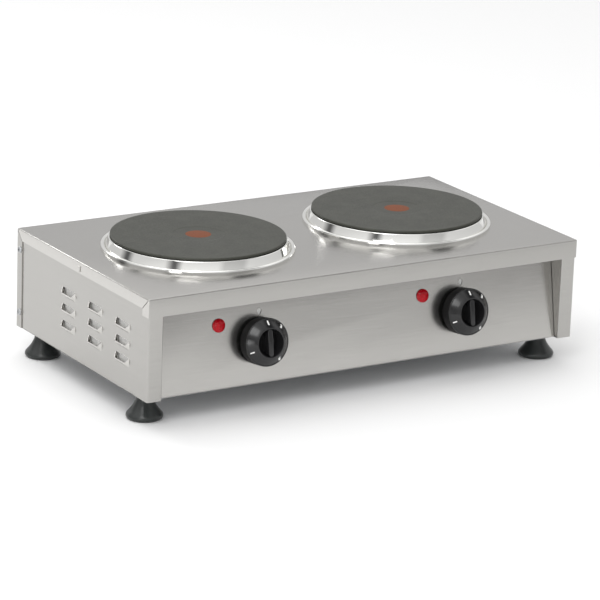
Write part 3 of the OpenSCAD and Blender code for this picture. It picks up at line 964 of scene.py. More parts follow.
@dataclass
class ControlPanel:
    """The leaning front sheet with flanges at its top and bottom."""

    place: PanelPlace
    steel: bpy.types.Material
    bend: float = 1.4 * MM
    flange: float = 14.0 * MM
    shaft_hole: float = 5.0 * MM
    lamp_hole: float = 5.2 * MM

    def build(self) -> bpy.types.Object:
        """Folds the panel, drills it and dresses it.

        Returns:
            The panel.
        """
        low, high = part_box("control_panel")
        half = SHEET / 2
        anchor = self.place.knobs[Side.LEFT]
        slope = self.place.out.cross(Vector((1, 0, 0)))
        foot = anchor + slope * ((low.z - anchor.z) / slope.z)
        head = anchor + slope * ((high.z - anchor.z) / slope.z)
        line = rounded(
            [
                (foot.y + self.flange, foot.z + half),
                (foot.y + half, foot.z + half),
                (head.y + half, head.z - half),
                (head.y + self.flange, head.z - half),
            ],
            self.bend,
        )
        sheet = folded("control_panel_sheet", upright(line, low.x), Vector((high.x - low.x, 0, 0)))
        drills = []
        for side in Side:
            lamp = (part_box(f"{side.word}_lamp_lens")[0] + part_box(f"{side.word}_lamp_lens")[1]) / 2
            for spot, radius in ((self.place.knobs[side], self.shaft_hole), (lamp, self.lamp_hole)):
                drills.append(settle(rod(radius, -4 * MM, 4 * MM), self.place.matrix(spot)))
        cut(sheet, *drills)
        sheet.data.materials.append(self.steel)
        return smooth(sheet, 40)


# ------------------------------------------------------------------ plates


@dataclass
class HotPlate:
    """A sealed cast plate with its shallow dish, its red spot and its polished trim ring."""

    side: Side
    iron: bpy.types.Material
    red: bpy.types.Material
    polished: bpy.types.Material
    edge: float = 1.5 * MM
    wall: float = 2.8 * MM
    step: float = 2.4 * MM
    dish: float = 27.5 * MM
    dish_depth: float = 0.45 * MM
    bead: float = 1.85 * MM
    gauge: float = 0.6 * MM
    steps: int = 192

    def build(self) -> dict[str, bpy.types.Object]:
        """Builds the plate, the spot and the ring.

        Returns:
            The three pieces by the node that each replaces.
        """
        low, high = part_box(f"{self.side.word}_hot_plate")
        centre = (low + high) / 2
        place = Matrix.Translation((centre.x, centre.y, 0))
        radius = (high.x - low.x) / 2
        plate = settle(self.plate(radius, high.z, low.z), place)
        plate.data.materials.append(self.iron)
        spot = settle(self.spot(), place)
        spot.data.materials.append(self.red)
        ring = settle(self.ring(radius), place)
        ring.data.materials.append(self.polished)
        word = self.side.word
        return {f"{word}_hot_plate": plate, f"{word}_plate_dot": spot, f"{word}_trim_ring": ring}

    def plate(self, radius: float, top: float, base: float) -> bpy.types.Object:
        """Turns the casting about the Z axis."""
        dish, depth, edge = self.dish, self.dish_depth, self.edge
        profile = [(0.0, top - depth), (dish - 3 * MM, top - depth)]
        profile += [(dish - 2 * MM, top - depth * 0.85), (dish - 0.8 * MM, top - depth * 0.2), (dish, top)]
        profile += [(radius * 0.6, top), (radius - 2 * edge, top)]
        profile += arc((radius - edge, top - edge), edge, 90, 0, 6)
        profile += arc((radius - 0.6 * MM, top - self.wall + 0.6 * MM), 0.6 * MM, 0, -70, 3)
        profile += [(radius - self.step, top - self.wall - 0.4 * MM), (radius - self.step, top - 8 * MM)]
        profile += [(radius - 2 * self.step, top - 10 * MM), (radius - 2 * self.step, base), (0.0, base)]
        return turned(f"{self.side.word}_plate_casting", profile, self.steps, 35)

    def spot(self) -> bpy.types.Object:
        """Turns the thin red disc that lies in the dish."""
        low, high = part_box(f"{self.side.word}_plate_dot")
        radius = (high.x - low.x) / 2
        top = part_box(f"{self.side.word}_hot_plate")[1].z - self.dish_depth + 0.06 * MM
        profile = [(0.0, top), (radius - 0.4 * MM, top), (radius, top - 0.05 * MM)]
        profile += [(radius, low.z), (0.0, low.z)]
        return turned(f"{self.side.word}_plate_spot", profile, 96, 60)

    def ring(self, plate_radius: float) -> bpy.types.Object:
        """Turns the trim ring: a collar under the plate's edge, a groove and a rolled bead."""
        low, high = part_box(f"{self.side.word}_trim_ring")
        outer = (high.x - low.x) / 2
        base = low.z
        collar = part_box(f"{self.side.word}_hot_plate")[1].z - self.wall
        bead = self.bead
        groove = outer - 2 * bead
        line = [(plate_radius - 1.6 * MM, collar - 0.4 * MM), (plate_radius + 0.5 * MM, collar - 0.35 * MM)]
        line += arc((plate_radius + 0.6 * MM, collar - 1.3 * MM), 0.95 * MM, 90, 12, 5)
        line += [(groove - 1.5 * MM, base + 3.4 * MM), (groove - 0.9 * MM, base + 2.2 * MM)]
        line += arc((groove - 0.1 * MM, base + 2.0 * MM), 0.75 * MM, 190, 320, 6)
        line += arc((outer - bead, base + bead), bead, 150, 0, 10)
        line += [(outer, base)]
        under = [(r - self.gauge, z - self.gauge * 0.3) for r, z in reversed(line)]
        return turned(f"{self.side.word}_trim_collar", [*line, *under, line[0]], self.steps, 60)


# ------------------------------------------------------------------ controls


@dataclass
class Knob:
    """A moulded knob: dished skirt, finger bowl, grip and dial marks. Drawn with Z out of the panel."""

    side: Side
    place: PanelPlace
    black: bpy.types.Material
    matt: bpy.types.Material
    white: bpy.types.Material
    radius: float = 24.4 * MM
    gap: float = 4.0 * MM
    rim: float = 17.2 * MM
    crown: float = 23.7 * MM
    bowl: float = 14.3 * MM
    floor: float = 12.5 * MM
    dish: float = 10.3 * MM
    grip: float = 7.4 * MM
    mark_radius: float = 20.6 * MM
    digit_height: float = 4.3 * MM
    digits: tuple[tuple[str, float], ...] = (("3", 46.0), ("2", 148.0), ("1", 248.0))

    def build(self) -> dict[str, bpy.types.Object]:
        """Builds the knob and its marks in their place on the panel.

        Returns:
            The knob and the marks by a short word each.
        """
        body = self.body()
        cut(body, self.bowl_cutter())
        knob = joined(f"{self.side.word}_control_knob", [body, self.grip_bar()])
        knob.data.materials.append(self.black)
        knob.data.materials.append(self.matt)
        # Painted shade: the skirt's side takes a darker, duller copy of the knob plastic; the duller sheen is
        # a finish, the darker colour is painted shade.
        for face in knob.data.polygons:
            outside = math.hypot(face.center.x, face.center.y) > self.radius - 1.2 * MM
            face.material_index = int(outside and face.center.z < self.rim - 1.8 * MM)
        smooth(knob, 32)
        marks = joined(f"{self.side.word}_dial_marks", [self.pointer(), *map(self.digit, self.digits)])
        marks.data.materials.clear()
        marks.data.materials.append(self.white)
        matrix = self.place.matrix(self.place.knobs[self.side])
        return {"knob": settle(knob, matrix), "marks": settle(marks, matrix)}

    def body(self) -> bpy.types.Object:
        """Turns the skirt and the crown."""
        r, rim, bowl = self.radius, self.rim, self.bowl
        profile = [(0.0, self.gap + MM), (9 * MM, self.gap + MM), (9 * MM, rim - 7.5 * MM)]
        profile += [(r - 2.2 * MM, rim - 7.5 * MM), (r - 2.2 * MM, self.gap), (r - 0.6 * MM, self.gap)]
        profile += [(r - 0.35 * MM, self.gap + 0.3 * MM), (r - 0.05 * MM, rim - 1.6 * MM)]
        profile += arc((r - 0.9 * MM, rim - 1.2 * MM), 0.9 * MM, 0, 115, 6)
        profile += [(bowl + 3.6 * MM, self.crown - 2.1 * MM)]
        profile += arc((bowl + 0.5 * MM, self.crown - 0.9 * MM), 0.9 * MM, 62, 110, 4)
        profile += [(bowl - 0.4 * MM, self.crown - 0.2 * MM), (0.0, self.crown - 0.2 * MM)]
        return turned("knob_body", profile, 128, 34)

    def bowl_cutter(self) -> bpy.types.Object:
        """Turns the block that hollows the finger bowl."""
        bowl, floor, dish = self.bowl, self.floor, self.dish
        profile = [(0.0, floor), (dish - 2.2 * MM, floor), (dish - 0.8 * MM, floor + 0.5 * MM)]
        profile += [(dish + 0.4 * MM, floor + 2.0 * MM), (bowl - 0.7 * MM, self.crown - 2.2 * MM)]
        profile += [(bowl, self.crown + 0.2 * MM), (bowl, self.crown + 2 * MM), (0.0, self.crown + 2 * MM)]
        return turned("bowl_cutter", profile, 128, 34)

    def grip_bar(self) -> bpy.types.Object:
        """Makes the grip that spans the bowl, tapered to its top and rounded at its ends."""
        half, reach = self.grip / 2, self.bowl - 0.4 * MM
        bar = block((-half, -reach, self.floor - MM), (half, reach, self.crown + 0.1 * MM))
        corners = [vertex.co.copy() for vertex in bar.data.vertices]
        edit(bar, "EDGE", lambda edge: abs(corners[edge.vertices[0]].z - corners[edge.vertices[1]].z) > MM)
        bpy.ops.mesh.bevel(offset=half - 0.6 * MM, segments=8, affect="EDGES")
        bpy.ops.object.mode_set(mode="OBJECT")
        edit(bar, "FACE", lambda face: face.center.z > self.crown - MM)
        bpy.ops.transform.resize(value=(0.72, 0.99, 1))
        bpy.ops.object.mode_set(mode="OBJECT")
        edit(bar, "FACE", lambda face: face.center.z < self.floor)
        bpy.ops.transform.resize(value=(1.15, 0.82, 1))
        bpy.ops.object.mode_set(mode="OBJECT")
        finish_modifier(
            bar, "BEVEL", width=0.6 * MM, segments=3, limit_method="ANGLE", angle_limit=math.radians(38)
        )
        return bar

    def on_cone(self, angle: float, radius: float) -> Matrix:
        """Frame on the skirt's sloping face: y outwards and z off the face.

        Args:
            angle: Degrees clockwise from the top, seen from the front.
            radius: Distance from the axis.

        Returns:
            The frame's matrix.
        """
        inner, outer = self.bowl + 1.2 * MM, self.radius - 0.9 * MM
        slope = math.atan2(self.crown - self.rim, outer - inner)
        height = self.rim + (outer - radius) * math.tan(slope) - 0.1 * MM
        turn = Matrix.Rotation(math.radians(-angle), 4, "Z")
        return turn @ Matrix.Translation((0, radius, height)) @ Matrix.Rotation(-slope, 4, "X")

    def pointer(self) -> bpy.types.Object:
        """Makes the bar that marks the off position."""
        bar = block((-0.75 * MM, -2.6 * MM, -0.2 * MM), (0.75 * MM, 2.6 * MM, 0.16 * MM), 0.1 * MM)
        return settle(bar, self.on_cone(0.0, self.mark_radius - 0.6 * MM))

    def digit(self, mark: tuple[str, float]) -> bpy.types.Object:
        """Makes one dial number.

        Args:
            mark: The number and its angle.

        Returns:
            The number as a mesh.
        """
        word, angle = mark
        deselect()
        bpy.ops.object.text_add()
        text = bpy.context.object
        text.data.body = word
        text.data.size = self.digit_height * 1.35
        text.data.align_x = "CENTER"
        text.data.align_y = "CENTER"
        text.data.extrude = 0.14 * MM
        text.data.offset = 0.3 * MM
        text.data.resolution_u = 4
        bpy.ops.object.convert(target="MESH")
        return settle(bpy.context.object, self.on_cone(angle, self.mark_radius))


@dataclass
class PilotLamp:
    """A domed red lens with a collar and a cross moulded inside its face."""

    side: Side
    place: PanelPlace
    plastic: bpy.types.Material
    radius: float = 7.0 * MM
    collar: float = 1.4 * MM
    dome: float = 8.4 * MM
    height: float = 4.5 * MM

    def build(self) -> bpy.types.Object:
        """Builds the lens in its place on the panel.

        Returns:
            The lens.
        """
        inner = self.radius - 0.5 * MM
        drop = self.dome - math.sqrt(self.dome**2 - inner**2)
        profile = [(0.0, 0.0), (self.radius - 0.2 * MM, 0.0), (self.radius, 0.2 * MM)]
        profile += arc((self.radius - 0.4 * MM, self.collar - 0.4 * MM), 0.4 * MM, 0, 90, 3)
        crest = self.collar + drop
        for k in range(13):
            r = inner * (1 - k / 12)
            wave = 0.16 * MM * math.cos(math.tau * r / inner * 3.0)
            profile.append((r, crest - self.dome + math.sqrt(self.dome**2 - r**2) + wave * (r / inner)))
        lens = turned(f"{self.side.word}_lamp_dome", profile, 64, 40)
        for vertex in lens.data.vertices:
            radius = math.hypot(vertex.co.x, vertex.co.y)
            if vertex.co.z > self.collar and 0.2 * MM < radius < inner:
                angle = math.atan2(vertex.co.y, vertex.co.x)
                vertex.co.z -= 0.35 * MM * abs(math.cos(2 * angle)) ** 6 * math.sin(math.pi * radius / inner)
        lens.data.materials.append(self.plastic)
        low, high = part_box(f"{self.side.word}_lamp_lens")
        return settle(lens, self.place.matrix((low + high) / 2))


@dataclass
class IndexMark:
    """The small printed drop above a knob, over a painted shadow: a darker copy set off to one side."""

    side: Side
    place: PanelPlace
    white: bpy.types.Material
    ground: bpy.types.Material
    rise: float = 29.9 * MM
    shift: float = 1.6 * MM
    size: float = 2.1 * MM
    # Shift of the painted shadow layer from the white drop, to the right and down.
    offset: Point = (0.75 * MM, -0.5 * MM)

    def build(self) -> bpy.types.Object:
        """Prints the mark on the panel.

        Returns:
            The mark.
        """
        # The white drop sits over a thinner dark copy set off to one side: a painted shadow.
        mark = joined(
            f"{self.side.word}_index_mark",
            [self.drop((0.0, 0.0), 0.3 * MM, self.white), self.drop(self.offset, 0.15 * MM, self.ground)],
        )
        slope = self.place.out.cross(Vector((1, 0, 0)))
        spot = self.place.knobs[self.side] + slope * self.rise + Vector((self.shift, 0, 0))
        return settle(mark, self.place.matrix(spot))

    def drop(self, centre: Point, height: float, finish: bpy.types.Material) -> bpy.types.Object:
        """Makes one drop-shaped layer, its tip towards the knob."""
        ring = arc(centre, self.size, -20, 200, 12)
        outline = [*ring, (centre[0], centre[1] - self.size * 1.9)]
        layer = prism([Vector((x, y, 0)) for x, y in outline], Vector((0, 0, height)))
        layer.data.materials.append(finish)
        return layer


# ------------------------------------------------------------------ feet and fasteners


@dataclass
class Foot:
    """A moulded bell foot: rounded rim, flared waist and neck."""

    node: str
    black: bpy.types.Material
    rim: float = 3.4 * MM
    neck: float = 7.8 * MM
    shoulder: float = 6.0 * MM

    def build(self) -> bpy.types.Object:
        """Turns the foot and puts it under the casing.

        Returns:
            The foot.
        """
        low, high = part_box(self.node)
        radius, top = (high.x - low.x) / 2, high.z - low.z
        profile = [(0.0, 0.7 * MM), (radius * 0.55, 0.7 * MM), (radius * 0.6, 0.0)]
        profile.append((radius - self.rim + 0.6 * MM, 0.0))
        profile += arc((radius - self.rim, self.rim), self.rim, -80, 42, 9)
        for k in range(1, 19):
            u = k / 18
            width = self.neck + (radius - MM - self.neck) * (1 - u) ** 2.1
            profile.append((width, self.shoulder + u * (top - self.shoulder)))
        profile.append((0.0, top))
        foot = turned(f"{self.node}_bell", profile, 96, 40)
        foot.data.materials.append(self.black)
        centre = (low + high) / 2
        return settle(foot, Matrix.Translation((centre.x, centre.y, low.z)))


@dataclass
class PanScrews:
    """Pan-head screws with a cross recess, one piece for a group."""

    name: str
    steel: bpy.types.Material
    head: float
    height: float
    spots: Sequence[Matrix]
    shank: float = 2.0 * MM
    length: float = 7.0 * MM

    def build(self) -> bpy.types.Object:
        """Models one screw, copies it to every spot and joins the copies.

        Returns:
            The group.
        """
        master = self.screw()
        copies = []
        for spot in self.spots:
            copy = master.copy()
            copy.data = master.data.copy()
            bpy.context.collection.objects.link(copy)
            copies.append(settle(copy, spot))
        bpy.data.objects.remove(master)
        group = joined(self.name, copies)
        group.data.materials.append(self.steel)
        return smooth(group, 35)

    def screw(self) -> bpy.types.Object:
        """Models a screw with its head above the origin."""
        head, height = self.head, self.height
        profile = [(0.0, height), (head * 0.45, height * 0.98), (head * 0.75, height * 0.82)]
        profile += [(head * 0.93, height * 0.55), (head, height * 0.25), (head, 0.0), (self.shank, 0.0)]
        profile += [(self.shank, -self.length), (0.0, -self.length)]
        screw = turned("screw", profile, 40, 35)
        arm, width = head * 0.55, head * 0.13
        depth = height * 0.35
        cut(
            screw,
            block((-arm, -width, depth), (arm, width, 2 * height)),
            block((-width, -arm, depth), (width, arm, 2 * height)),
        )
        return screw


# ------------------------------------------------------------------ rear entry


@dataclass
class CableGland:
    """The gland in the rear panel: hexagon, knurled dome nut and open bore."""

    nylon: bpy.types.Material
    bore: float = 5.0 * MM
    thread: float = 10.0 * MM
    hexagon: float = 13.0 * MM
    nut: float = 12.0 * MM
    ribs: int = 30

    def build(self) -> bpy.types.Object:
        """Builds the gland and turns it to point out of the rear.

        Returns:
            The gland.
        """
        low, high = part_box("cable_gland")
        centre = (low + high) / 2
        out = high.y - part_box("rear_panel")[1].y
        inside = low.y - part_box("rear_panel")[1].y
        pieces = [self.sleeve(out, inside), self.hex_flange(), self.dome_nut(out)]
        gland = joined("rear_cable_gland", pieces)
        gland.data.materials.append(self.nylon)
        face = Matrix.Translation((centre.x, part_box("rear_panel")[1].y, centre.z))
        return smooth(settle(gland, face @ Matrix.Rotation(math.radians(-90), 4, "X")), 30)

    def sleeve(self, out: float, inside: float) -> bpy.types.Object:
        """Turns the threaded sleeve, with a groove for each turn of the thread."""
        profile = [(self.bore, out - 3 * MM), (self.bore, inside)]
        turns = int(-inside / (1.5 * MM))
        for k in range(turns):
            z = inside + k * 1.5 * MM
            profile.append((self.thread - 0.7 * MM, z + 0.1 * MM))
            profile += [(self.thread, z + 0.7 * MM), (self.thread, z + 0.9 * MM)]
        profile += [(self.thread, 0.5 * MM), (self.thread - 2 * MM, out - 3 * MM), profile[0]]
        return turned("sleeve", profile, 64, 30)

    def hex_flange(self) -> bpy.types.Object:
        """Makes the hexagon that bears on the panel."""
        deselect()
        radius = self.hexagon / math.cos(math.radians(30))
        bpy.ops.mesh.primitive_cylinder_add(
            vertices=6, radius=radius, depth=5 * MM, location=(0, 0, 2.5 * MM)
        )
        flange = settle(bpy.context.object)
        finish_modifier(flange, "BEVEL", width=0.5 * MM, segments=3, limit_method="NONE")
        cut(flange, rod(self.bore + 2 * MM, -MM, 8 * MM))
        return flange

    def dome_nut(self, out: float) -> bpy.types.Object:
        """Turns the dome nut and presses its ribs."""
        nut, bore = self.nut, self.bore
        profile = [(bore, 5 * MM), (nut - 0.5 * MM, 5 * MM), (nut, 5.5 * MM), (nut, 11 * MM)]
        profile += [(nut - 0.6 * MM, 12.6 * MM), (nut - 2.0 * MM, 15 * MM), (nut - 3.4 * MM, out - 0.6 * MM)]
        profile += [(nut - 4.2 * MM, out), (bore + 0.6 * MM, out), (bore, out - 0.6 * MM), (bore, 5 * MM)]
        dome = turned("dome_nut", profile, self.ribs * 6, 30)
        for vertex in dome.data.vertices:
            radius = math.hypot(vertex.co.x, vertex.co.y)
            if radius > nut - 0.8 * MM and vertex.co.z > 5.2 * MM:
                angle = math.atan2(vertex.co.y, vertex.co.x)
                scale = 1 - 0.035 * (0.5 + 0.5 * math.cos(self.ribs * angle))
                vertex.co.x *= scale
                vertex.co.y *= scale
        return dome


# ------------------------------------------------------------------ studio


@dataclass
class Studio:
    """Pale floor, soft lights and the camera."""

    azimuth: float = -31.87
    elevation: float = 16.965
    roll: float = 2.06
    distance: float = 3.790
    lens: float = 206.2
    sensor: float = 36.0
    aim: tuple[float, float] = (0.1111, 0.1684)
    sky: tuple[Point, ...] = ((0.0, 0.66), (0.12, 0.68), (0.34, 0.76), (0.5, 1.0), (0.8, 1.25), (1.0, 1.3))
    gaps: tuple[Point, ...] = (
        (-180, 1.0), (-154, 1.0), (-143, 0.15), (-139, 0.15), (-130, 1.0), (-84, 1.0), (-76, 0.7), (-52, 0.7),
        (-44, 1.0), (132, 1.0), (144, 0.15), (148, 0.15), (158, 1.0),
    )
    lean: float = 0.35
    flag: tuple[float, float, float] = (0.506, -0.29, 0.81)
    flag_edge: tuple[Point, ...] = ((0.0, 1.0), (0.94, 1.0), (0.985, 0.05), (1.0, 0.05))

    def build(self) -> None:
        """Sets up the floor, the light and the camera."""
        self.floor()
        self.world()
        self.lights()
        self.camera()

    def floor(self) -> None:
        """Lays the floor just under the part's lowest point."""
        deselect()
        bpy.ops.mesh.primitive_plane_add(size=14.0, location=(0, 0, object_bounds()[0].z - 0.05 * MM))
        floor = settle(named(bpy.context.object, "studio_floor"))
        nodes = Nodes("floor_paper")
        nodes.base((0.9, 0.9, 0.9), 0.0, 0.9)
        floor.data.materials.append(nodes.material)
        floor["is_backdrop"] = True

    def world(self) -> None:
        """Surrounds the part with soft white, dimmer at the horizon and between the soft boxes."""
        world = bpy.data.worlds.new("studio")
        bpy.context.scene.world = world
        world.use_nodes = True
        tree = world.node_tree
        background = next(n for n in tree.nodes if n.type == "BACKGROUND")
        coords = tree.nodes.new("ShaderNodeTexCoord")
        split = tree.nodes.new("ShaderNodeSeparateXYZ")
        tree.links.new(coords.outputs["Generated"], split.inputs["Vector"])
        bearing = tree.nodes.new("ShaderNodeMath")
        bearing.operation = "ARCTAN2"
        tree.links.new(split.outputs["Y"], bearing.inputs[0])
        tree.links.new(split.outputs["X"], bearing.inputs[1])
        turn = tree.nodes.new("ShaderNodeMapRange")
        turn.inputs["From Min"].default_value = -math.pi
        turn.inputs["From Max"].default_value = math.pi
        leaning = tree.nodes.new("ShaderNodeMath")
        leaning.operation = "MULTIPLY_ADD"
        leaning.inputs[1].default_value = self.lean
        tree.links.new(split.outputs["Z"], leaning.inputs[0])
        tree.links.new(bearing.outputs["Value"], leaning.inputs[2])
        tree.links.new(leaning.outputs["Value"], turn.inputs["Value"])
        rise = self.ramp(tree, split.outputs["Z"], self.sky)
        gaps = self.ramp(tree, turn.outputs["Result"], [((a + 180) / 360, v) for a, v in self.gaps])
        facing = tree.nodes.new("ShaderNodeVectorMath")
        facing.operation = "DOT_PRODUCT"
        facing.inputs[1].default_value = self.flag
        tree.links.new(coords.outputs["Generated"], facing.inputs[0])
        flag = self.ramp(tree, facing.outputs["Value"], self.flag_edge)
        whole = self.product(tree, self.product(tree, rise, gaps), flag)
        tree.links.new(whole, background.inputs["Color"])

    def product(
        self, tree: bpy.types.NodeTree, first: bpy.types.NodeSocket, second: bpy.types.NodeSocket
    ) -> bpy.types.NodeSocket:
        """Multiplies two values."""
        node = tree.nodes.new("ShaderNodeMath")
        node.operation = "MULTIPLY"
        tree.links.new(first, node.inputs[0])
        tree.links.new(second, node.inputs[1])
        return node.outputs["Value"]

    def ramp(
        self, tree: bpy.types.NodeTree, source: bpy.types.NodeSocket, stops: Sequence[Point]
    ) -> bpy.types.NodeSocket:
        """Runs a value through a grey ramp.

        Args:
            tree: The node tree.
            source: The value.
            stops: Position and brightness of each stop, in order.

        Returns:
            The brightness.
        """
        node = tree.nodes.new("ShaderNodeValToRGB")
        elements = node.color_ramp.elements
        while len(elements) > 1:
            elements.remove(elements[-1])
        elements[0].position, elements[0].color = stops[0][0], (*[stops[0][1]] * 3, 1)
        for position, value in stops[1:]:
            elements.new(position).color = (value, value, value, 1)
        tree.links.new(source, node.inputs["Fac"])
        return node.outputs["Color"]

    def lights(self) -> None:
        """Hangs the soft boxes."""
        boxes = (
            ("key", (-1.1, -1.0, 1.5), 0.9, 9.0),
            ("top", (-0.3, 0.4, 2.4), 1.6, 10.0),
            ("low", (-1.6, -1.05, 0.25), 0.45, 3.0),
            ("edge", (-0.58, 1.62, 1.0), 0.45, 4.0),
        )
        for name, spot, size, power in boxes:
            light = bpy.data.lights.new(name, "AREA")
            light.shape = "SQUARE"
            light.size = size
            light.energy = power
            lamp = bpy.data.objects.new(name, light)
            bpy.context.collection.objects.link(lamp)
            lamp.location = spot
            aim = Vector((0, 0, 0.1)) - Vector(spot)
            lamp.rotation_euler = aim.to_track_quat("-Z", "Y").to_euler()

    def camera(self) -> None:
        """Points the camera from the front left, a little above the worktop."""
        turn, lift, roll = map(math.radians, (self.azimuth, self.elevation, self.roll))
        back = Vector((math.sin(turn) * math.cos(lift), -math.cos(turn) * math.cos(lift), math.sin(lift)))
        right = Vector((0, 0, 1)).cross(back).normalized()
        up = back.cross(right)
        right, up = (
            right * math.cos(roll) + up * math.sin(roll),
            up * math.cos(roll) - right * math.sin(roll),
        )
        data = bpy.data.cameras.new("camera")
        data.sensor_width = self.sensor
        data.lens = self.lens
        data.clip_end = 50.0
        camera = bpy.data.objects.new("camera", data)
        bpy.context.collection.objects.link(camera)
        matrix = Matrix((right, up, back)).transposed().to_4x4()
        matrix.translation = Vector((*self.aim, 0.0)) + back * self.distance
        camera.matrix_world = matrix
        bpy.context.scene.camera = camera
        bpy.context.scene.view_settings.view_transform = "Standard"


# ------------------------------------------------------------------ assembly


def loose_middles(node: bpy.types.Object) -> list[Vector]:
    """Finds the middle of each separate solid in a node.

    Args:
        node: A node that holds a group of fasteners.

    Returns:
        The middle of each solid's box.
    """
    deselect()
    copy = node.copy()
    copy.data = node.data.copy()
    bpy.context.collection.objects.link(copy)
    pick(copy)
    bpy.ops.object.mode_set(mode="EDIT")
    bpy.ops.mesh.select_all(action="SELECT")
    bpy.ops.mesh.remove_doubles(threshold=0.01 * MM)
    bpy.ops.mesh.separate(type="LOOSE")
    bpy.ops.object.mode_set(mode="OBJECT")
    middles = []
    for part in list(bpy.context.selected_objects):
        spots = [vertex.co for vertex in part.data.vertices]
        middles.append(Vector([(min(axis) + max(axis)) / 2 for axis in zip(*spots)]))
        bpy.data.objects.remove(part)
    return middles


def hand_over(piece: bpy.types.Object, body: str, slot: str, *nodes: str) -> None:
    """Gives a finished piece to the frame and reports it.

    Args:
        piece: The piece.
        body: The body that it rides on.
        slot: The record's slot of its finish. Not used.
        nodes: The nodes that it stands for.
    """
    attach(piece, body)
    if nodes:
        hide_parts(*nodes)
    LOG.info("%s: %d faces, on %s", piece.name, len(piece.data.polygons), body)


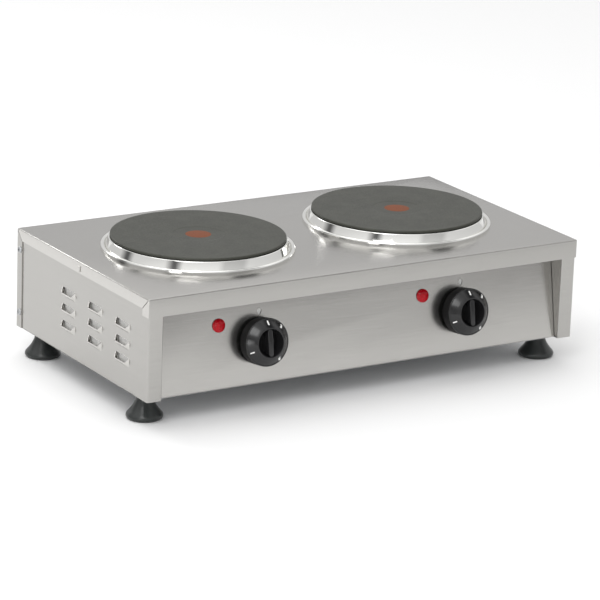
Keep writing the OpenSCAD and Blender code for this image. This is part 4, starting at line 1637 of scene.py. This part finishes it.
@dataclass
class Appliance:
    """The whole hot plate: builds the sub-assemblies and dresses the nodes that stay."""

    frame: dict
    place: PanelPlace

    def build(self) -> None:
        """Builds every piece and dresses every node."""
        self.casing()
        self.plates()
        self.controls()
        self.feet()
        self.fasteners()
        self.inner_parts()

    def casing(self) -> None:
        """Builds the sheets that form the outside."""
        # Painted light and shade: four copies of the one brushed steel, lighter or darker by how their faces
        # meet the light; only their grain directions differ for real.
        across = BrushedSteel("steel_brushed_across", Grain.ALONG_X, shade(STEEL, TOP_PAINTED_SHADE)).make()
        panel = BrushedSteel("steel_brushed_panel", Grain.ALONG_X, shade(STEEL, PANEL_PAINTED_SHADE)).make()
        side_shaded_steel = BrushedSteel("steel_brushed_deep", Grain.ALONG_Y, shade(STEEL, SIDE_PAINTED_SHADE)).make()
        dull = AluminisedSteel("guard_aluminised").make()
        flange = BrushedSteel("steel_brushed_flange", Grain.UPRIGHT, shade(STEEL, EDGE_PAINTED_LIGHT)).make()
        hand_over(Worktop(across, flange).build(), "casing", "stainless_sheet", "worktop")
        for side in Side:
            sheet = SidePanel(side, side_shaded_steel, across, flange, dull, Louvres()).build()
            hand_over(sheet, "casing", "stainless_sheet", f"{side.word}_side_panel")
        hand_over(ControlPanel(self.place, panel).build(), "casing", "stainless_sheet", "control_panel")
        self.dress(across, "rear_panel")

    def plates(self) -> None:
        """Builds the cast plates, their spots and their trim rings."""
        red = Enamel("spot_enamel", (0.175, 0.050, 0.018)).make()
        polished = PolishedSteel("trim_polish").make()
        slots = {"hot_plate": "plate_iron", "plate_dot": "signal_red", "trim_ring": "polished_trim"}
        for side in Side:
            low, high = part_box(f"{side.word}_hot_plate")
            iron = PlateIron(f"{side.word}_plate_iron", (low + high) / 2, shade(IRON, IRON_TONE)).make()
            for node, piece in HotPlate(side, iron, red, polished).build().items():
                hand_over(piece, "casing", slots[node.removeprefix(f"{side.word}_")], node)

    def controls(self) -> None:
        """Builds the knobs, their marks and the pilot lamps."""
        black = Moulding("knob_phenolic", (0.010, 0.010, 0.0105), 0.19).make()
        # Painted shade: the skirt side's plastic is darker than the knob's own, and duller.
        matt = Moulding("knob_skirt_matt", (0.004, 0.004, 0.0045), 0.5, shine=0.12).make()
        white = Enamel("mark_enamel", (0.92, 0.92, 0.90)).make()
        # Painted shadow under the index mark.
        ground = Enamel("mark_ground", (0.10, 0.10, 0.10)).make()
        red = LampPlastic("lamp_plastic").make()
        for side in Side:
            word = side.word
            pieces = Knob(side, self.place, black, matt, white).build()
            hand_over(pieces["knob"], f"{word}_control", "knob_black", f"{word}_knob")
            hand_over(pieces["marks"], f"{word}_control", "white_moulding")
            hand_over(IndexMark(side, self.place, white, ground).build(), "casing", "white_moulding")
            lens = PilotLamp(side, self.place, red).build()
            hand_over(lens, "casing", "lamp_red", f"{word}_lamp_lens")

    def feet(self) -> None:
        """Builds the four feet."""
        black = Moulding("foot_moulding", (0.020, 0.023, 0.022), 0.3, 0.015 * MM).make()
        for end in ("front", "rear"):
            for side in Side:
                corner = f"{end}_{side.word}"
                foot = Foot(f"{corner}_foot", black).build()
                hand_over(foot, f"{corner}_leg", "foot_black", f"{corner}_foot")

    def fasteners(self) -> None:
        """Builds the screws of the casing and the cable gland."""
        zinc = PlatedSteel("screw_zinc").make()
        nodes = self.frame["nodes"]
        down = Matrix.Rotation(math.pi, 4, "X")
        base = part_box("base_plate")[0].z
        middles = loose_middles(nodes["base_screws"])
        spots = [Matrix.Translation((m.x, m.y, base)) @ down for m in middles]
        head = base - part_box("base_screws")[0].z
        screws = PanScrews("base_pan_screws", zinc, 3.5 * MM, head, spots).build()
        hand_over(screws, "casing", "zinc_steel", "base_screws")
        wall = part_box("rear_panel")[1].x
        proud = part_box("rear_panel_screws")[1].x - wall
        spots = []
        for middle in loose_middles(nodes["rear_panel_screws"]):
            sign = math.copysign(1.0, middle.x)
            place = Matrix.Translation((sign * wall, middle.y, middle.z))
            spots.append(place @ Matrix.Rotation(math.radians(90 * sign), 4, "Y"))
        screws = PanScrews("rear_pan_screws", zinc, 3.5 * MM, proud, spots).build()
        hand_over(screws, "casing", "zinc_steel", "rear_panel_screws")
        nylon = Moulding("gland_nylon", (0.028, 0.028, 0.030), 0.42).make()
        hand_over(CableGland(nylon).build(), "casing", "gland_black", "cable_gland")
        self.dress(nylon, "gland_nut")

    def inner_parts(self) -> None:
        """Dresses the nodes inside the casing."""
        zinc = PlatedSteel("inner_zinc").make()
        moulding = Moulding("switch_phenolic", (0.52, 0.44, 0.30), 0.5).make()
        white = Moulding("white_polyamide", (0.78, 0.78, 0.75), 0.45).make()
        sleeve = Moulding("wire_sleeve", (0.34, 0.06, 0.035), 0.55).make()
        brass = PlatedSteel("brass", (0.62, 0.43, 0.17), 0.3).make()
        wire = PlatedSteel("oxidised_wire", (0.26, 0.21, 0.17), 0.5).make()
        magnesia = Ceramic("pressed_magnesia", (0.72, 0.68, 0.58)).make()
        steatite = Ceramic("fired_steatite", (0.78, 0.74, 0.64), 0.5).make()
        legs = [f"{end}_{side.word}_foot_stud" for end in ("front", "rear") for side in Side]
        self.dress(zinc, "base_plate", "foot_nuts", *legs)
        self.dress(white, "mains_terminal_block")
        self.dress(brass, "earth_stud")
        self.dress(sleeve, "lamp_wires")
        for side in Side:
            word = side.word
            metal = ("plate_cover", "clamp_bar", "clamp_stud", "clamp_nut")
            metal += ("switch_shaft", "switch_screws", "lamp_clip")
            self.dress(zinc, *(f"{word}_{part}" for part in metal))
            self.dress(wire, f"{word}_heating_coil")
            self.dress(magnesia, f"{word}_insulation")
            self.dress(steatite, f"{word}_plate_terminals")
            self.dress(moulding, f"{word}_switch")
            self.dress(white, f"{word}_lamp_body")
            self.dress(sleeve, f"{word}_plate_wires", f"{word}_supply_wires")

    def dress(self, material: bpy.types.Material, *names: str) -> None:
        """Gives nodes that keep their own shape a finish.

        Args:
            material: The finish.
            names: The nodes.
        """
        for name in names:
            node = self.frame["nodes"][name]
            for slot in node.material_slots:
                slot.material = material
            LOG.info("%s: dressed with %s", name, material.name)


def main() -> None:
    """Loads the frame, builds the appliance and lights it."""
    logging.basicConfig(level=logging.INFO, format="%(name)s: %(message)s")
    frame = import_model()
    deselect()
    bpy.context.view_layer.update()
    Studio().build()
    Appliance(frame, read_panel(frame["joints"])).build()


if __name__ == "__main__":
    main()
